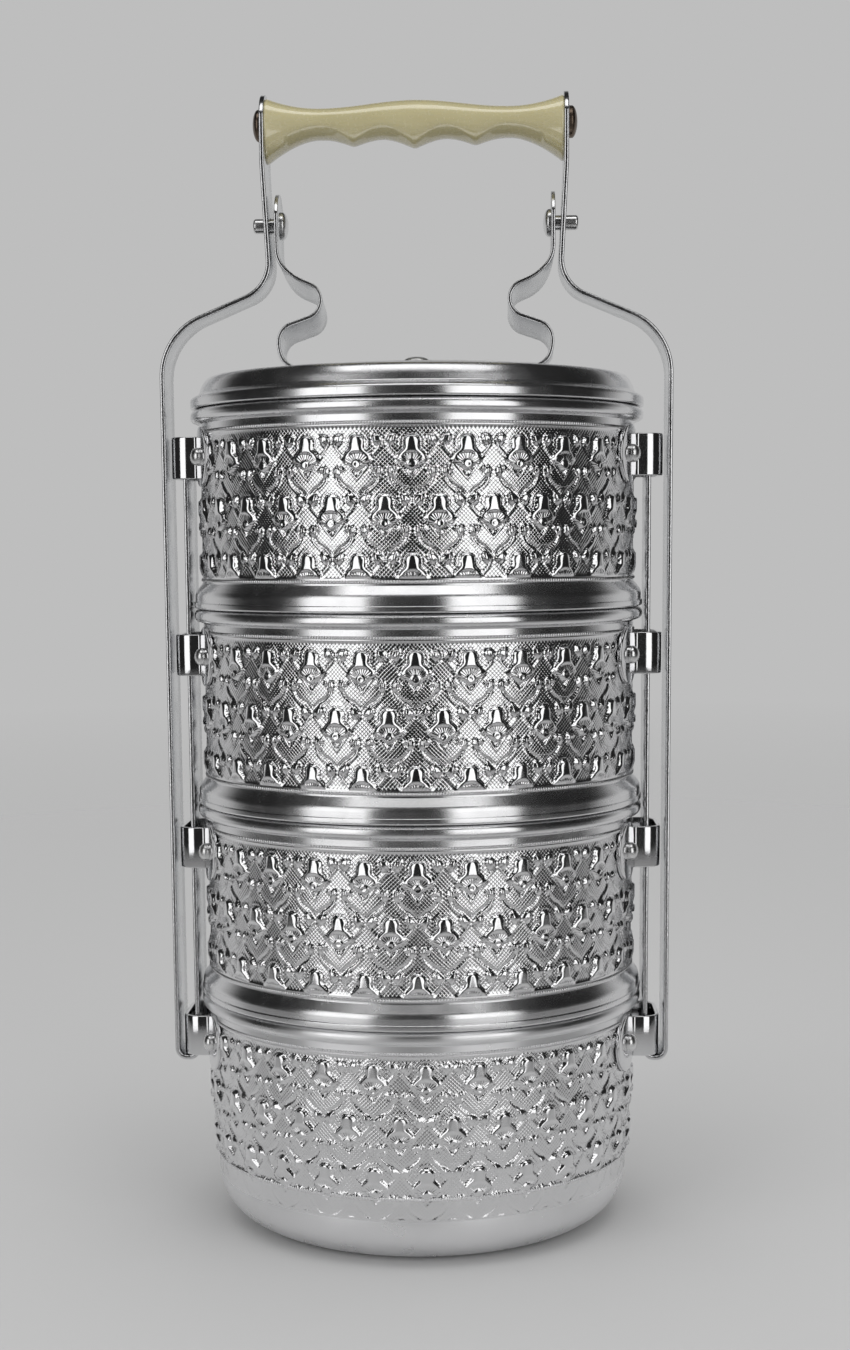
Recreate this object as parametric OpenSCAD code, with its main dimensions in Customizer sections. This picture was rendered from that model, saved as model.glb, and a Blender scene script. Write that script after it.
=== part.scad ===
// Four-tier tiffin carrier: nesting bowls and a lid, held by a strap frame with a moulded grip
// and a sprung latch. Millimetres, +Z up, origin at the middle of the base.

/* [Bowls] */
// Outside radius of a bowl's wall
bowl_r = 69.4; // [60:0.1:80]
// Thickness of the pressed sheet
sheet = 1; // [0.8:0.1:1.4]
// Height from one seam between tiers to the next
tier_pitch = 62.4; // [55:0.1:80]
// Height of the lowest seam above the base
bottom_h = 75.5; // [70:0.1:95]
// How far the rims and brims stand out from the wall
brim_reach = 2.8; // [1.6:0.1:3.4]
// Height of the rolled rim at a bowl's mouth
rim_h = 4.5; // [4:0.1:6]
// Height of the flared band at a bowl's foot
flare_h = 8; // [7:0.1:10]
// Height of the upright edge of a brim
brim_h = 2; // [1.4:0.1:3]
// Depth of the foot that nests into the tier below
plug_depth = 5; // [3:0.1:8]
// Radial clearance of the nesting foot
plug_gap = 0.5; // [0.3:0.1:1]
// Clearance between two stacked tiers
seat_gap = 0.2; // [0.1:0.05:0.4]
// Radius of the lowest bowl's rounded bottom
base_round = 16; // [8:0.5:22]
// How far the lowest bowl's foot lies inside its wall
base_inset = 3; // [1:0.1:6]
// Height at which the lowest bowl's wall starts to draw in
base_wall_z = 40; // [30:1:48]

/* [Emboss] */
// Number of embossed bosses in one row round a bowl
boss_count = 27; // [20:1:30]
// Number of rows of bosses on an upper bowl
boss_rows = 3; // [1:1:3]
// Number of rows of bosses on the straight part of the lowest bowl's wall
base_boss_rows = 2; // [1:1:2]
// Distance of the highest row of bosses below a bowl's seam
boss_drop = 13.6; // [12:0.1:15]
// Height from one row of bosses to the next on the upper bowls
boss_pitch = 17.1; // [15:0.1:18]
// Height from one row of bosses to the next on the lowest bowl
base_boss_pitch = 16.3; // [14:0.1:17]
// Radius of a boss where it rises from the wall
boss_r = 2.5; // [1.4:0.1:2.8]
// Height of a boss above the wall
boss_h = 1.1; // [0.5:0.1:1.3]

/* [Lid] */
// Height of the lid's rolled edge above its seam
lid_brim_h = 3.1; // [2.4:0.1:4]
// How far the lid's wall stands inside its edge
lid_step = 2.8; // [1.5:0.1:3.5]
// Height of the lid's shoulder above its seam
lid_shoulder_h = 9.8; // [9:0.1:16]
// Radius of the lid at its shoulder
lid_shoulder_r = 66.8; // [58:0.1:67]
// Rise of the domed top above the shoulder
lid_crown = 3.8; // [2:0.1:7]

/* [Ears] */
// Distance of an ear's middle below the bowl's seam
ear_drop = 15; // [14.6:0.1:20]
// Height of an ear's loop
ear_h = 13.2; // [9:0.1:16]
// Thickness of an ear's strip
ear_t = 1.2; // [0.8:0.1:1.5]
// Gap between an ear's flange and the wall
ear_seat = 0.1; // [0.05:0.05:0.3]
// Radius of the round flange on each side of an ear
flange_r = 9.3; // [8:0.1:9.5]
// Angle from the middle of an ear to each rivet
rivet_angle = 17.5; // [16:0.1:20]
// Radius of a rivet's shank
rivet_r = 1.6; // [1.2:0.1:2]
// Radius of a rivet's domed head
rivet_head_r = 2.8; // [2.4:0.1:3.4]

/* [Frame] */
// Width of the frame strap
strap_w = 20; // [16:0.5:22]
// Thickness of the frame strap
strap_t = 1.5; // [1.2:0.1:2]
// Gap between a brim and the prong that guides the tiers
prong_gap = 0.6; // [0.4:0.1:1.2]
// Gap from the prong to the ear's outer wall
prong_play = 2.6; // [1.5:0.1:4]
// Gap from the ear's outer wall to the strap
strap_play = 1.5; // [1:0.1:3]
// Gap from the prong's edges to the sides of an ear
prong_side_play = 1.3; // [1:0.1:2.5]
// Gap from the lowest ear down to the strap's hairpin turn
hairpin_gap = 0.6; // [0.5:0.1:3]
// Length of the grip between the two strap tops
grip_l = 93.4; // [80:0.1:110]
// Height of the grip's rod above the top seam
rod_rise = 88.5; // [84:0.1:110]
// How far the strap's round end stands above the rod
strap_end = 9.2; // [8:0.1:12]
// Height above the top seam where the neck's line meets the shoulder's line
knee_rise = 38; // [34:0.1:42]
// How far the neck draws in from the grip down to the knee
neck_lean = 1.9; // [0:0.1:2.5]
// Slope of the frame's shoulder below the level, in degrees
shoulder_slope = 22.6; // [15:0.1:30]
// Bend radius at the knee of the neck
knee_round = 7; // [4:0.5:10]
// Bend radius at the shoulder
shoulder_round = 20; // [10:0.5:22]
// Radius of the rod through the grip
rod_r = 2.5; // [2:0.1:3.5]
// Radius of the rod's domed heads
rod_head_r = 4.9; // [4:0.1:6]
// Height of the rod's domed heads
rod_head_h = 2.8; // [1.5:0.1:4]

/* [Grip] */
// Distance from one finger hollow to the next
finger_pitch = 19.2; // [16:0.1:22]
// Depth of a finger hollow
finger_depth = 2.3; // [0:0.1:3]
// How much lower the point between the two middle fingers hangs
grip_middle_drop = 0.8; // [0:0.1:2]
// Height of the grip above its rod at the middle
grip_top = 7.1; // [6:0.1:9]
// Height of the grip above its rod at the waists
grip_waist = 4.8; // [4.5:0.1:6]
// Depth of the grip below its rod at the points between fingers
grip_belly = 6.9; // [6.5:0.1:9]
// How much higher the grip's ends stand above its waists
grip_end_rise = 3.3; // [0:0.1:4]
// How much deeper the grip's ends hang below its finger hollows
grip_end_drop = 7.6; // [0:0.1:8]
// Half of the grip's thickness from front to back at the waists
grip_half_depth = 7.8; // [6:0.1:9]
// How much the ends widen from front to back, on each side
grip_end_flare = 2; // [0:0.1:3]

/* [Latch] */
// Width of the spring strip
spring_w = 20; // [14:0.5:22]
// Thickness of the spring strip
spring_t = 1.2; // [0.8:0.1:1.5]
// Gap from a spring arm to the strap beside it
arm_gap = 2.75; // [2:0.05:3.5]
// Half of the length of the strip that lies on the lid
clip_half_l = 36; // [32:0.5:37]
// Distance of a stud below the grip's rod
stud_drop = 30.8; // [28:0.1:33]
// Distance of an arm's tip above its stud
arm_tip_rise = 9.6; // [8:0.1:10]
// How far the S bend reaches inwards, from the upright part of the arm
bend_reach = 18; // [14:0.5:20]
// Radius of a stud's pin
pin_r = 2.3; // [1.8:0.1:2.6]
// How far a pin stands out of the strap
pin_reach = 3.2; // [2:0.1:4]
// Radius of a stud's domed head
stud_head_r = 4.3; // [3.5:0.1:5]
// Height of a stud's domed head
stud_head_h = 2.4; // [1.5:0.1:3]
// Clearance of a pin in its hole
pin_clear = 0.3; // [0.2:0.05:0.5]
// Radius of the rivet that holds the clip on the lid
clip_rivet_r = 2.4; // [1.8:0.1:3]
// Radius of that rivet's head
clip_rivet_head_r = 4.2; // [4:0.1:6]
// Height of that rivet's head
clip_rivet_head_h = 1.9; // [1.2:0.1:3]

/* [Hidden] */
$fn = 64;

// Clearance of a rivet or rod in its own hole
hole_clear = 0.05;
// Gap between two pieces of one body that lie face to face
face_gap = 0.05;
// Angle of one step along a bend
bend_step = 7.5;
// Steps in the outline of a domed head
dome_steps = 6;
// Bend radii: sharp folds, the rolled rim below and above, the brim's edge, the flare and the nesting foot
crease = 0.35;
rim_under_round = 1.6;
rim_top_round = 1.9;
brim_edge_round = 0.7;
flare_round = 3;
fold_round = 1;
plug_round = 3;
base_wall_round = 40;
lid_shoulder_round = 3.2;
lid_edge_round = 1.4;
lid_step_round = 0.8;
// Rise of the lid's step from its rolled edge in to its wall
lid_step_rise = 1.5;
// How far the flare starts inside the brim's edge
brim_step = 0.4;
// Share of a flare's height at which it bends towards the wall
bowl_flare_knee = 0.6;
// Turn of the pattern on each bowl from the middle of its front, in degrees, from the lowest bowl up
boss_turns = [3.2, 1.5, 1.4, 0.9];
// Clearance of a boss from an ear
boss_clear = 0.8;
// Ear bends, and the angle by which its strip stops short of the rivet
ear_root_round = 1.4;
ear_bend = 5;
ear_end_angle = 3;
// Heights of the rivets' flat inner heads and of the collars under domed heads
rivet_tail_h = 0.7;
clip_tail_h = 0.9;
rod_collar = 1;
stud_collar = 0.6;
// Radius of a strip's rounded end, as a share of its width
end_roundness = 0.53;
// Where the grip's ends start to flare and where its waists lie, in finger hollows
flare_fingers = 0.85;
waist_fingers = 1.55;
last_hollow = 1.5;
// Exponent of the curve by which the grip's ends flare
flare_power = 1.7;
// Exponent that fills out the grip's oval section
grip_fullness = 0.85;
// Bends of a spring arm: run at its root, offsets of the bends and their radii
root_run = 2;
lower_bend_out = 5.8;
lower_bend_rise = 7.6;
inner_bend_rise = 13;
upper_bend_rise = 10.4;
root_round = 2.5;
lower_round = 4.5;
inner_round = 3.5;
upper_round = 8;
// Shank of a stud in its arm, as a share of its pin, and the rounding of the pin's tip
stud_shank = 0.8;
pin_tip_round = 0.8;
// Bend of the neck below the grip: its distance below the rod and its radius
neck_bend_drop = 13;
neck_round = 30;
// Bend of the hairpin, as a share of half its width
hairpin_share = 0.9;

inner_r = bowl_r - sheet;
brim_r = bowl_r + brim_reach;
plug_r = inner_r - plug_gap;
function seam(tier) = bottom_h + tier * tier_pitch;
top_seam = seam(3);

// Frame lines, as distances from the middle plane
prong_x = brim_r + prong_gap + strap_t / 2;
ear_x = prong_x + strap_t / 2 + prong_play + ear_t / 2;
strap_x = ear_x + ear_t / 2 + strap_play + strap_t / 2;
neck_x = grip_l / 2 + face_gap + strap_t / 2;
hairpin_r = (strap_x - prong_x) / 2;
hairpin_bend = hairpin_share * hairpin_r;
bottom_ear_z = seam(0) - ear_drop;
hairpin_z = bottom_ear_z - ear_h / 2 - hairpin_gap - strap_t / 2;
prong_top = seam(3) - ear_drop + ear_h / 2;
knee_x = neck_x - neck_lean;
knee_z = top_seam + knee_rise;
shoulder_z = knee_z - (strap_x - knee_x) * tan(shoulder_slope);
rod_z = top_seam + rod_rise;
neck_bend_z = rod_z - neck_bend_drop;
strap_top = rod_z + strap_end;
stud_z = rod_z - stud_drop;

// Latch lines
crown_z = top_seam + lid_shoulder_h + lid_crown;
crown_ball_r = (pow(lid_shoulder_r, 2) + pow(lid_crown, 2)) / (2 * lid_crown);
function crown_at(r) = crown_z - crown_ball_r + sqrt(pow(crown_ball_r, 2) - r * r);
arm_x = neck_x - strap_t / 2 - arm_gap - spring_t / 2;
root_x = clip_half_l + face_gap + spring_t / 2;
root_z = crown_at(root_x) + face_gap + spring_t;
arm_tip_z = stud_z + arm_tip_rise;
stud_shank_r = stud_shank * pin_r;

// Ear lines, seen from above
ear_y = strap_w / 2 + prong_side_play + ear_t / 2;
flange_mid_r = bowl_r + ear_seat + ear_t / 2;

// A list in the opposite order
function reversed(v) = [for (i = [len(v) - 1:-1:0]) v[i]];
function unit(a) = a / norm(a);
function left_of(d) = [-d[1], d[0]];
function turned(p, a) = [p[0] * cos(a) - p[1] * sin(a), p[0] * sin(a) + p[1] * cos(a)];
function polar(r, a) = [r * cos(a), r * sin(a)];

// Points of the bend of radius r that rounds the corner b between a and c
function corner(a, b, c, r) =
    let (u = unit(a - b), w = unit(c - b), half = acos(max(-1, min(1, u * w))) / 2)
    r <= 0 || half > 89.5 ? [b] :
    let (
        middle = b + unit(u + w) * r / sin(half),
        first = b + u * r / tan(half) - middle,
        last = b + w * r / tan(half) - middle,
        turn = atan2(cross(first, last), first * last),
        steps = max(2, ceil(abs(turn) / bend_step))
    )
    [for (k = [0:steps]) middle + turned(first, turn * k / steps)];

// A line through corners given as [x, y, bend radius]
function bent(v) = [
    for (i = [0:len(v) - 1])
        let (at = [v[i][0], v[i][1]])
        each (i == 0 || i == len(v) - 1 ? [at]
            : corner([v[i - 1][0], v[i - 1][1]], at, [v[i + 1][0], v[i + 1][1]], v[i][2]))
];

// The line p moved sideways by h, and the outline of a strip of thickness t along p
function heading(p, i) = unit(p[min(i + 1, len(p) - 1)] - p[max(i - 1, 0)]);
function beside(p, h) = [for (i = [0:len(p) - 1]) p[i] + h * left_of(heading(p, i))];
function strip(p, t) = concat(beside(p, t / 2), reversed(beside(p, -t / 2)));

// A strip of sheet bent along a line in the XZ plane, w wide from front to back
module band(p, t, w) {
    rotate([90, 0, 0])
        linear_extrude(height = w, center = true)
            polygon(strip(p, t));
}

// A bore or shaft along X from x0 to x1 at height z
module along_x(x0, x1, z, r) {
    translate([x0, 0, z])
        rotate([0, 90, 0])
            cylinder(r = r, h = x1 - x0);
}

// Space below the rounded end of a strip that is w wide and ends at height z
module below_round_end(z, w) {
    end_r = end_roundness * w;
    along_x(0, 2 * strap_x, z - end_r, end_r);
    translate([0, -w, 0]) cube([2 * strap_x, 2 * w, z - end_r]);
}

// Everything on the +X side, or its mirror image
module on_side(side) {
    if (side > 0) children();
    else mirror([1, 0, 0]) children();
}

// Outline corners shared by every rim, from the wall up to the mouth
function rim_corners(h) = [
    [bowl_r, h - rim_h, crease],
    [brim_r, h - rim_h + brim_reach / 3, rim_under_round],
    [brim_r, h, rim_top_round],
    [inner_r, h, crease]
];

// Outline corners shared by every brim, from its underside up to the start of the flare
flare_x = brim_r - brim_step;
brim_corners = [
    [plug_r, 0, crease],
    [brim_r, 0, brim_edge_round],
    [brim_r, brim_h, crease],
    [flare_x, brim_h + brim_step / 4, 0]
];

// Rows of embossed bosses on a bowl's wall, each the cap of a ball, staggered from row to row by half a
// step; they are left out where an ear lies on the wall
boss_ball_r = (boss_r * boss_r + boss_h * boss_h) / (2 * boss_h);
ear_reach = rivet_angle + asin((flange_r + boss_r + boss_clear) / bowl_r);
module bosses(tier, rows, row_pitch) {
    difference() {
        for (row = [0:rows - 1], k = [0:boss_count - 1]) {
            z = seam(tier) - boss_drop - row * row_pitch;
            angle = boss_turns[tier] + (k + row % 2 / 2) * 360 / boss_count;
            from_ear = abs(angle % 180 - 90);
            below_ear = seam(tier) - ear_drop - z;
            if (from_ear > ear_reach || below_ear > flange_r + boss_r)
                rotate([0, 0, angle - 90])
                    translate([bowl_r + boss_h - boss_ball_r, 0, z])
                        sphere(r = boss_ball_r);
        }
        translate([0, 0, seam(tier) - tier_pitch]) cylinder(r = bowl_r - sheet / 2, h = tier_pitch);
    }
}

// One of the upper bowls, with its seam at height 0
module nesting_bowl() {
    h = tier_pitch - seat_gap;
    floor_z = sheet - plug_depth;
    rotate_extrude()
        polygon(bent(concat(
            [[0, -plug_depth, 0], [plug_r, -plug_depth, plug_round]],
            brim_corners,
            [[flare_x, flare_h * bowl_flare_knee, flare_round], [bowl_r, flare_h, crease]],
            rim_corners(h),
            [
                [inner_r, sheet + fold_round / 2, fold_round],
                [plug_r - sheet, sheet / 2, fold_round],
                [plug_r - sheet, floor_z, plug_round - sheet],
                [0, floor_z, 0]
            ]
        )));
}

// The lowest bowl, whose rounded bottom stands on the table
module standing_bowl() {
    h = bottom_h - seat_gap;
    foot_r = bowl_r - base_inset;
    rotate_extrude()
        polygon(bent(concat(
            [[0, 0, 0], [foot_r, 0, base_round], [bowl_r, base_wall_z, base_wall_round]],
            rim_corners(h),
            [
                [inner_r, base_wall_z, base_wall_round - sheet],
                [foot_r - sheet, sheet, base_round - sheet],
                [0, sheet, 0]
            ]
        )));
}

// Holes for one bowl's four rivets
module rivet_holes(z, r) {
    for (side = [0, 180], turn = [-1, 1])
        rotate([0, 0, side + turn * rivet_angle])
            along_x(inner_r - sheet, bowl_r + 2 * flange_r, z, r);
}

module upper_bowl(tier) {
    color("silver")
        difference() {
            union() {
                translate([0, 0, seam(tier - 1)]) nesting_bowl();
                bosses(tier, boss_rows, boss_pitch);
            }
            rivet_holes(seam(tier) - ear_drop, rivet_r + hole_clear);
        }
}

module bottom_bowl() {
    color("gainsboro")
        difference() {
            union() {
                standing_bowl();
                bosses(0, base_boss_rows, base_boss_pitch);
            }
            rivet_holes(bottom_ear_z, rivet_r + hole_clear);
        }
}

// Plan of an ear: a strip from one flange, out round the prong and back to the other flange
ear_start = polar(flange_mid_r, rivet_angle - ear_end_angle);
ear_root_x = sqrt(pow(flange_mid_r, 2) - pow(ear_y, 2));
ear_line = bent([
    [ear_start[0], -ear_start[1], 0],
    [ear_root_x, -ear_y, ear_root_round],
    [ear_x, -ear_y, ear_bend],
    [ear_x, ear_y, ear_bend],
    [ear_root_x, ear_y, ear_root_round],
    [ear_start[0], ear_start[1], 0]
]);

// A round flange that hugs the bowl's wall at a rivet
module flange(turn) {
    shell_r = bowl_r + ear_seat;
    intersection() {
        difference() {
            cylinder(r = shell_r + ear_t, h = 3 * flange_r, center = true);
            cylinder(r = shell_r, h = 4 * flange_r, center = true);
        }
        rotate([0, 0, turn * rivet_angle])
            along_x(bowl_r / 2, bowl_r * 1.5, 0, flange_r);
    }
}

module ear(tier, side) {
    color("silver")
        on_side(side)
            translate([0, 0, seam(tier) - ear_drop])
                difference() {
                    union() {
                        linear_extrude(height = ear_h, center = true) polygon(strip(ear_line, ear_t));
                        for (turn = [-1, 1]) flange(turn);
                    }
                    rivet_holes(0, rivet_r + hole_clear);
                }
}

// A dome of radius r and height h that stands on a collar, turned about Z
function dome(r, h, collar, z) = [
    for (k = [0:dome_steps])
        let (a = 90 * k / dome_steps)
        [r * cos(a), z + collar + (h - collar) * sin(a)]
];

// A round-headed rivet along +Z, with its wall between heights 0 and grip_h
module rivet(shank_r, head_r, head_h, grip_h, tail_h) {
    rotate_extrude()
        polygon(concat(
            [[0, -tail_h], [head_r, -tail_h], [head_r, 0], [shank_r, 0], [shank_r, grip_h]],
            [[head_r, grip_h]],
            dome(head_r, head_h, head_h / 5, grip_h)
        ));
}

module bowl_rivets(tier) {
    tail_r = sqrt(pow(inner_r, 2) - pow(rivet_head_r, 2)) - face_gap;
    clamped = flange_mid_r + ear_t / 2 + face_gap - tail_r;
    color("gainsboro")
        for (side = [0, 180], turn = [-1, 1])
            rotate([0, 0, side + turn * rivet_angle])
                translate([tail_r, 0, seam(tier) - ear_drop])
                    rotate([0, 90, 0])
                        rivet(rivet_r, rivet_head_r, rivet_head_r, clamped, rivet_tail_h);
}

// Middle line of a frame strap: grip, neck, shoulder, side, hairpin and inner prong
strap_line = bent([
    [neck_x, strap_top + strap_t, 0],
    [neck_x, neck_bend_z, neck_round],
    [knee_x, knee_z, knee_round],
    [strap_x, shoulder_z, shoulder_round],
    [strap_x, hairpin_z, hairpin_bend],
    [prong_x, hairpin_z, hairpin_bend],
    [prong_x, prong_top, 0]
]);

module frame_strap(side) {
    color("lightgray")
        on_side(side)
            difference() {
                intersection() {
                    band(strap_line, strap_t, strap_w);
                    below_round_end(strap_top, strap_w);
                }
                along_x(0, strap_x, rod_z, rod_r + hole_clear);
                along_x(0, strap_x, stud_z, pin_r + pin_clear);
            }
}

// Shape of the moulded grip along X: heights above and below the rod, and half depth
flare_start = grip_l / 2 - flare_fingers * finger_pitch;
function end_flare(x) = pow(max(0, abs(x) - flare_start) / (grip_l / 2 - flare_start), flare_power);
function grip_upper(x) =
    let (waist_x = waist_fingers * finger_pitch)
    (grip_top + grip_waist) / 2 + (grip_top - grip_waist) / 2 * cos(180 * min(1, abs(x) / waist_x))
    + grip_end_rise * pow(max(0, abs(x) - waist_x) / (grip_l / 2 - waist_x), 2);
function grip_lower(x) =
    grip_belly - finger_depth * abs(sin(180 * min(abs(x), last_hollow * finger_pitch) / finger_pitch))
    + grip_middle_drop * max(0, 1 - 2 * abs(x) / finger_pitch) + grip_end_drop * end_flare(x);
function grip_side(x) = grip_half_depth + grip_end_flare * end_flare(x);

grip_rings = 56;
grip_sides = 20;
function signed_pow(a, e) = sign(a) * pow(abs(a), e);
function grip_point(x, a) = [
    x,
    grip_side(x) * signed_pow(cos(a), grip_fullness),
    (sin(a) > 0 ? grip_upper(x) : grip_lower(x)) * signed_pow(sin(a), grip_fullness)
];

// The grip as rings of points from end to end, closed by a fan at each end
module grip_body() {
    ring = [for (k = [0:grip_sides - 1]) k * 360 / grip_sides];
    xs = [for (i = [0:grip_rings]) grip_l * (i / grip_rings - 0.5)];
    function at(i, k) = i * grip_sides + k % grip_sides;
    sides = [
        for (i = [0:grip_rings - 1], k = [0:grip_sides - 1])
            each [[at(i, k), at(i + 1, k), at(i + 1, k + 1)], [at(i, k), at(i + 1, k + 1), at(i, k + 1)]]
    ];
    start = [for (k = [1:grip_sides - 2]) [at(0, 0), at(0, k), at(0, k + 1)]];
    end = [for (k = [1:grip_sides - 2]) [at(grip_rings, 0), at(grip_rings, k + 1), at(grip_rings, k)]];
    polyhedron([for (x = xs, a = ring) grip_point(x, a)], concat(sides, start, end));
}

module handle_grip() {
    color("ivory")
        difference() {
            translate([0, 0, rod_z]) grip_body();
            along_x(-grip_l, grip_l, rod_z, rod_r + hole_clear);
        }
}

module handle_rod() {
    reach = neck_x + strap_t / 2 + face_gap;
    color("dimgray")
        translate([-reach, 0, rod_z])
            rotate([0, 90, 0])
                rotate_extrude()
                    polygon(concat(
                        [for (p = reversed(dome(rod_head_r, rod_head_h, rod_collar, 0))) [p[0], -p[1]]],
                        [[rod_head_r, 0], [rod_r, 0], [rod_r, 2 * reach], [rod_head_r, 2 * reach]],
                        dome(rod_head_r, rod_head_h, rod_collar, 2 * reach)
                    ));
}

// The lid: a domed top, a wall that leans in, a rolled edge and a collar that nests into the top bowl
crown_steps = 8;
module lid() {
    crown = [
        for (i = [0:crown_steps - 1])
            let (r = (lid_shoulder_r - lid_shoulder_round) * (1 - i / (crown_steps - 1)))
            [r, crown_at(r) - top_seam]
    ];
    wall_r = brim_r - lid_step;
    wall_z = lid_brim_h + lid_step_rise;
    tilt = atan2(wall_r - lid_shoulder_r, lid_shoulder_h - wall_z);
    inner_shoulder_r = lid_shoulder_r + sheet * (tan(tilt) - 1 / cos(tilt));
    outer = bent([
        [plug_r - sheet, -plug_depth, 0],
        [plug_r, -plug_depth, crease],
        [plug_r, 0, crease],
        [brim_r, 0, brim_edge_round],
        [brim_r, lid_brim_h, lid_edge_round],
        [wall_r, wall_z, lid_step_round],
        [lid_shoulder_r, lid_shoulder_h, lid_shoulder_round],
        crown[0]
    ]);
    inner = bent([
        [crown[0][0], crown[0][1] - sheet, 0],
        [inner_shoulder_r, lid_shoulder_h - sheet, lid_shoulder_round - sheet],
        [wall_r - sheet * cos(tilt), wall_z - sheet * sin(tilt), crease],
        [plug_r - sheet, sheet, crease],
        [plug_r - sheet, -plug_depth, 0]
    ]);
    inside_crown = [for (p = reversed(crown)) [p[0], p[1] - sheet]];
    color("silver")
        difference() {
            translate([0, 0, top_seam])
                rotate_extrude()
                    polygon(concat(
                        [for (i = [0:len(outer) - 2]) outer[i]],
                        crown,
                        inside_crown,
                        [for (i = [1:len(inner) - 2]) inner[i]]
                    ));
            translate([0, 0, top_seam]) cylinder(r = clip_rivet_r + hole_clear, h = 2 * lid_shoulder_h);
        }
}

// Strip that lies along the lid's dome between the two arms
module clip_base() {
    steps = 12;
    line = [
        for (i = [0:steps])
            let (x = clip_half_l * (2 * i / steps - 1))
            [x, crown_at(x) + face_gap + spring_t / 2]
    ];
    color("lightgray")
        difference() {
            band(line, spring_t, spring_w);
            translate([0, 0, top_seam]) cylinder(r = clip_rivet_r + hole_clear, h = 2 * crown_z);
        }
}

module clip_rivet() {
    under_z = crown_z - sheet - face_gap;
    clamped = sheet + spring_t + 3 * face_gap;
    color("gainsboro")
        translate([0, 0, under_z])
            rivet(clip_rivet_r, clip_rivet_head_r, clip_rivet_head_h, clamped, clip_tail_h);
}

// Middle line of a spring arm: up from the clip's end, out, in, out and up beside the strap
lower_bend_x = arm_x + lower_bend_out;
lower_bend_z = root_z + lower_bend_rise;
inner_bend_x = arm_x - bend_reach;
inner_bend_z = lower_bend_z + inner_bend_rise;
upper_bend_z = inner_bend_z + upper_bend_rise;
arm_line = bent([
    [root_x, root_z - spring_t / 2, 0],
    [root_x + root_run, root_z - spring_t / 2, root_round],
    [lower_bend_x, lower_bend_z, lower_round],
    [inner_bend_x, inner_bend_z, inner_round],
    [arm_x, upper_bend_z, upper_round],
    [arm_x, arm_tip_z + spring_t, 0]
]);

module spring_arm(side) {
    color("lightgray")
        on_side(side)
            difference() {
                union() {
                    intersection() {
                        band(arm_line, spring_t, spring_w);
                        below_round_end(arm_tip_z, spring_w);
                    }
                    translate([root_x, spring_w / 2, root_z - spring_t / 2])
                        rotate([90, 0, 0])
                            cylinder(r = spring_t / 2, h = spring_w);
                }
                along_x(0, strap_x, stud_z, stud_shank_r + hole_clear);
            }
}

// A stud riveted into a spring arm, whose pin locks into the strap
module stud(side) {
    inside_x = arm_x - spring_t / 2 - face_gap;
    collar_x = spring_t + 2 * face_gap;
    tip_x = neck_x + strap_t / 2 + pin_reach - inside_x;
    head = [for (p = reversed(dome(stud_head_r, stud_head_h, stud_collar, 0))) [p[0], -p[1]]];
    shank = [[stud_head_r, 0], [stud_shank_r, 0], [stud_shank_r, collar_x], [pin_r, collar_x]];
    pin = bent([[pin_r, collar_x + arm_gap / 2, 0], [pin_r, tip_x, pin_tip_round], [0, tip_x, 0]]);
    color("gainsboro")
        on_side(side)
            translate([inside_x, 0, stud_z])
                rotate([0, 90, 0])
                    rotate_extrude()
                        polygon(concat(head, shank, pin));
}

frame_strap(-1);  // left_frame_strap
frame_strap(1);  // right_frame_strap
handle_grip();
handle_rod();
bottom_bowl();
upper_bowl(1);  // second_bowl
upper_bowl(2);  // third_bowl
upper_bowl(3);  // top_bowl
ear(0, -1);  // bottom_bowl_left_ear
ear(0, 1);  // bottom_bowl_right_ear
ear(1, -1);  // second_bowl_left_ear
ear(1, 1);  // second_bowl_right_ear
ear(2, -1);  // third_bowl_left_ear
ear(2, 1);  // third_bowl_right_ear
ear(3, -1);  // top_bowl_left_ear
ear(3, 1);  // top_bowl_right_ear
bowl_rivets(0);  // bottom_bowl_rivets
bowl_rivets(1);  // second_bowl_rivets
bowl_rivets(2);  // third_bowl_rivets
bowl_rivets(3);  // top_bowl_rivets
lid();
clip_base();
clip_rivet();
spring_arm(-1);  // left_spring_arm
spring_arm(1);  // right_spring_arm
stud(-1);  // left_stud
stud(1);  // right_stud
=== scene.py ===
"""Looks of a four-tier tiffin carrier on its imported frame. Sizes are millimetres until a mesh is made."""
import math
from functools import partial

import bmesh
import bpy
import numpy as np
from mathutils import Matrix, Vector


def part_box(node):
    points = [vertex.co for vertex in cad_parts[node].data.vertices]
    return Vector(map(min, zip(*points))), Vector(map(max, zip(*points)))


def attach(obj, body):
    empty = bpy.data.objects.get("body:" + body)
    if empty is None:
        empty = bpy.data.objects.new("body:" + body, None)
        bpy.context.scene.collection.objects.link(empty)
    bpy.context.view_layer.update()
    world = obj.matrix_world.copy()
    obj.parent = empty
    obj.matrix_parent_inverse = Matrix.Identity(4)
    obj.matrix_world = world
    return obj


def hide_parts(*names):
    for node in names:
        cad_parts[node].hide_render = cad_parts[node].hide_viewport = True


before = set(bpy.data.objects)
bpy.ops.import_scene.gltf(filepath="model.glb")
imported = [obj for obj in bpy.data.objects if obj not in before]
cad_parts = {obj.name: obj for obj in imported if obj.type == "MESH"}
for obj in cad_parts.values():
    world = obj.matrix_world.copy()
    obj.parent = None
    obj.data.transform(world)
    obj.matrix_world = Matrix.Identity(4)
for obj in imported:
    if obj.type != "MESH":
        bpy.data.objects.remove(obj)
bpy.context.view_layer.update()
MM = 0.001
SHARP_ANGLE = 38.0
NEVER_SHARP = 180.0
STRAIGHT_HALF = 89.5
EDGE_LIMIT = 0.98
HEAD_SINK = 0.02
DOME_POINTS = 14
TIERS = ("bottom", "second", "third", "top")
SIDES = {"left": -1, "right": 1}

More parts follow.
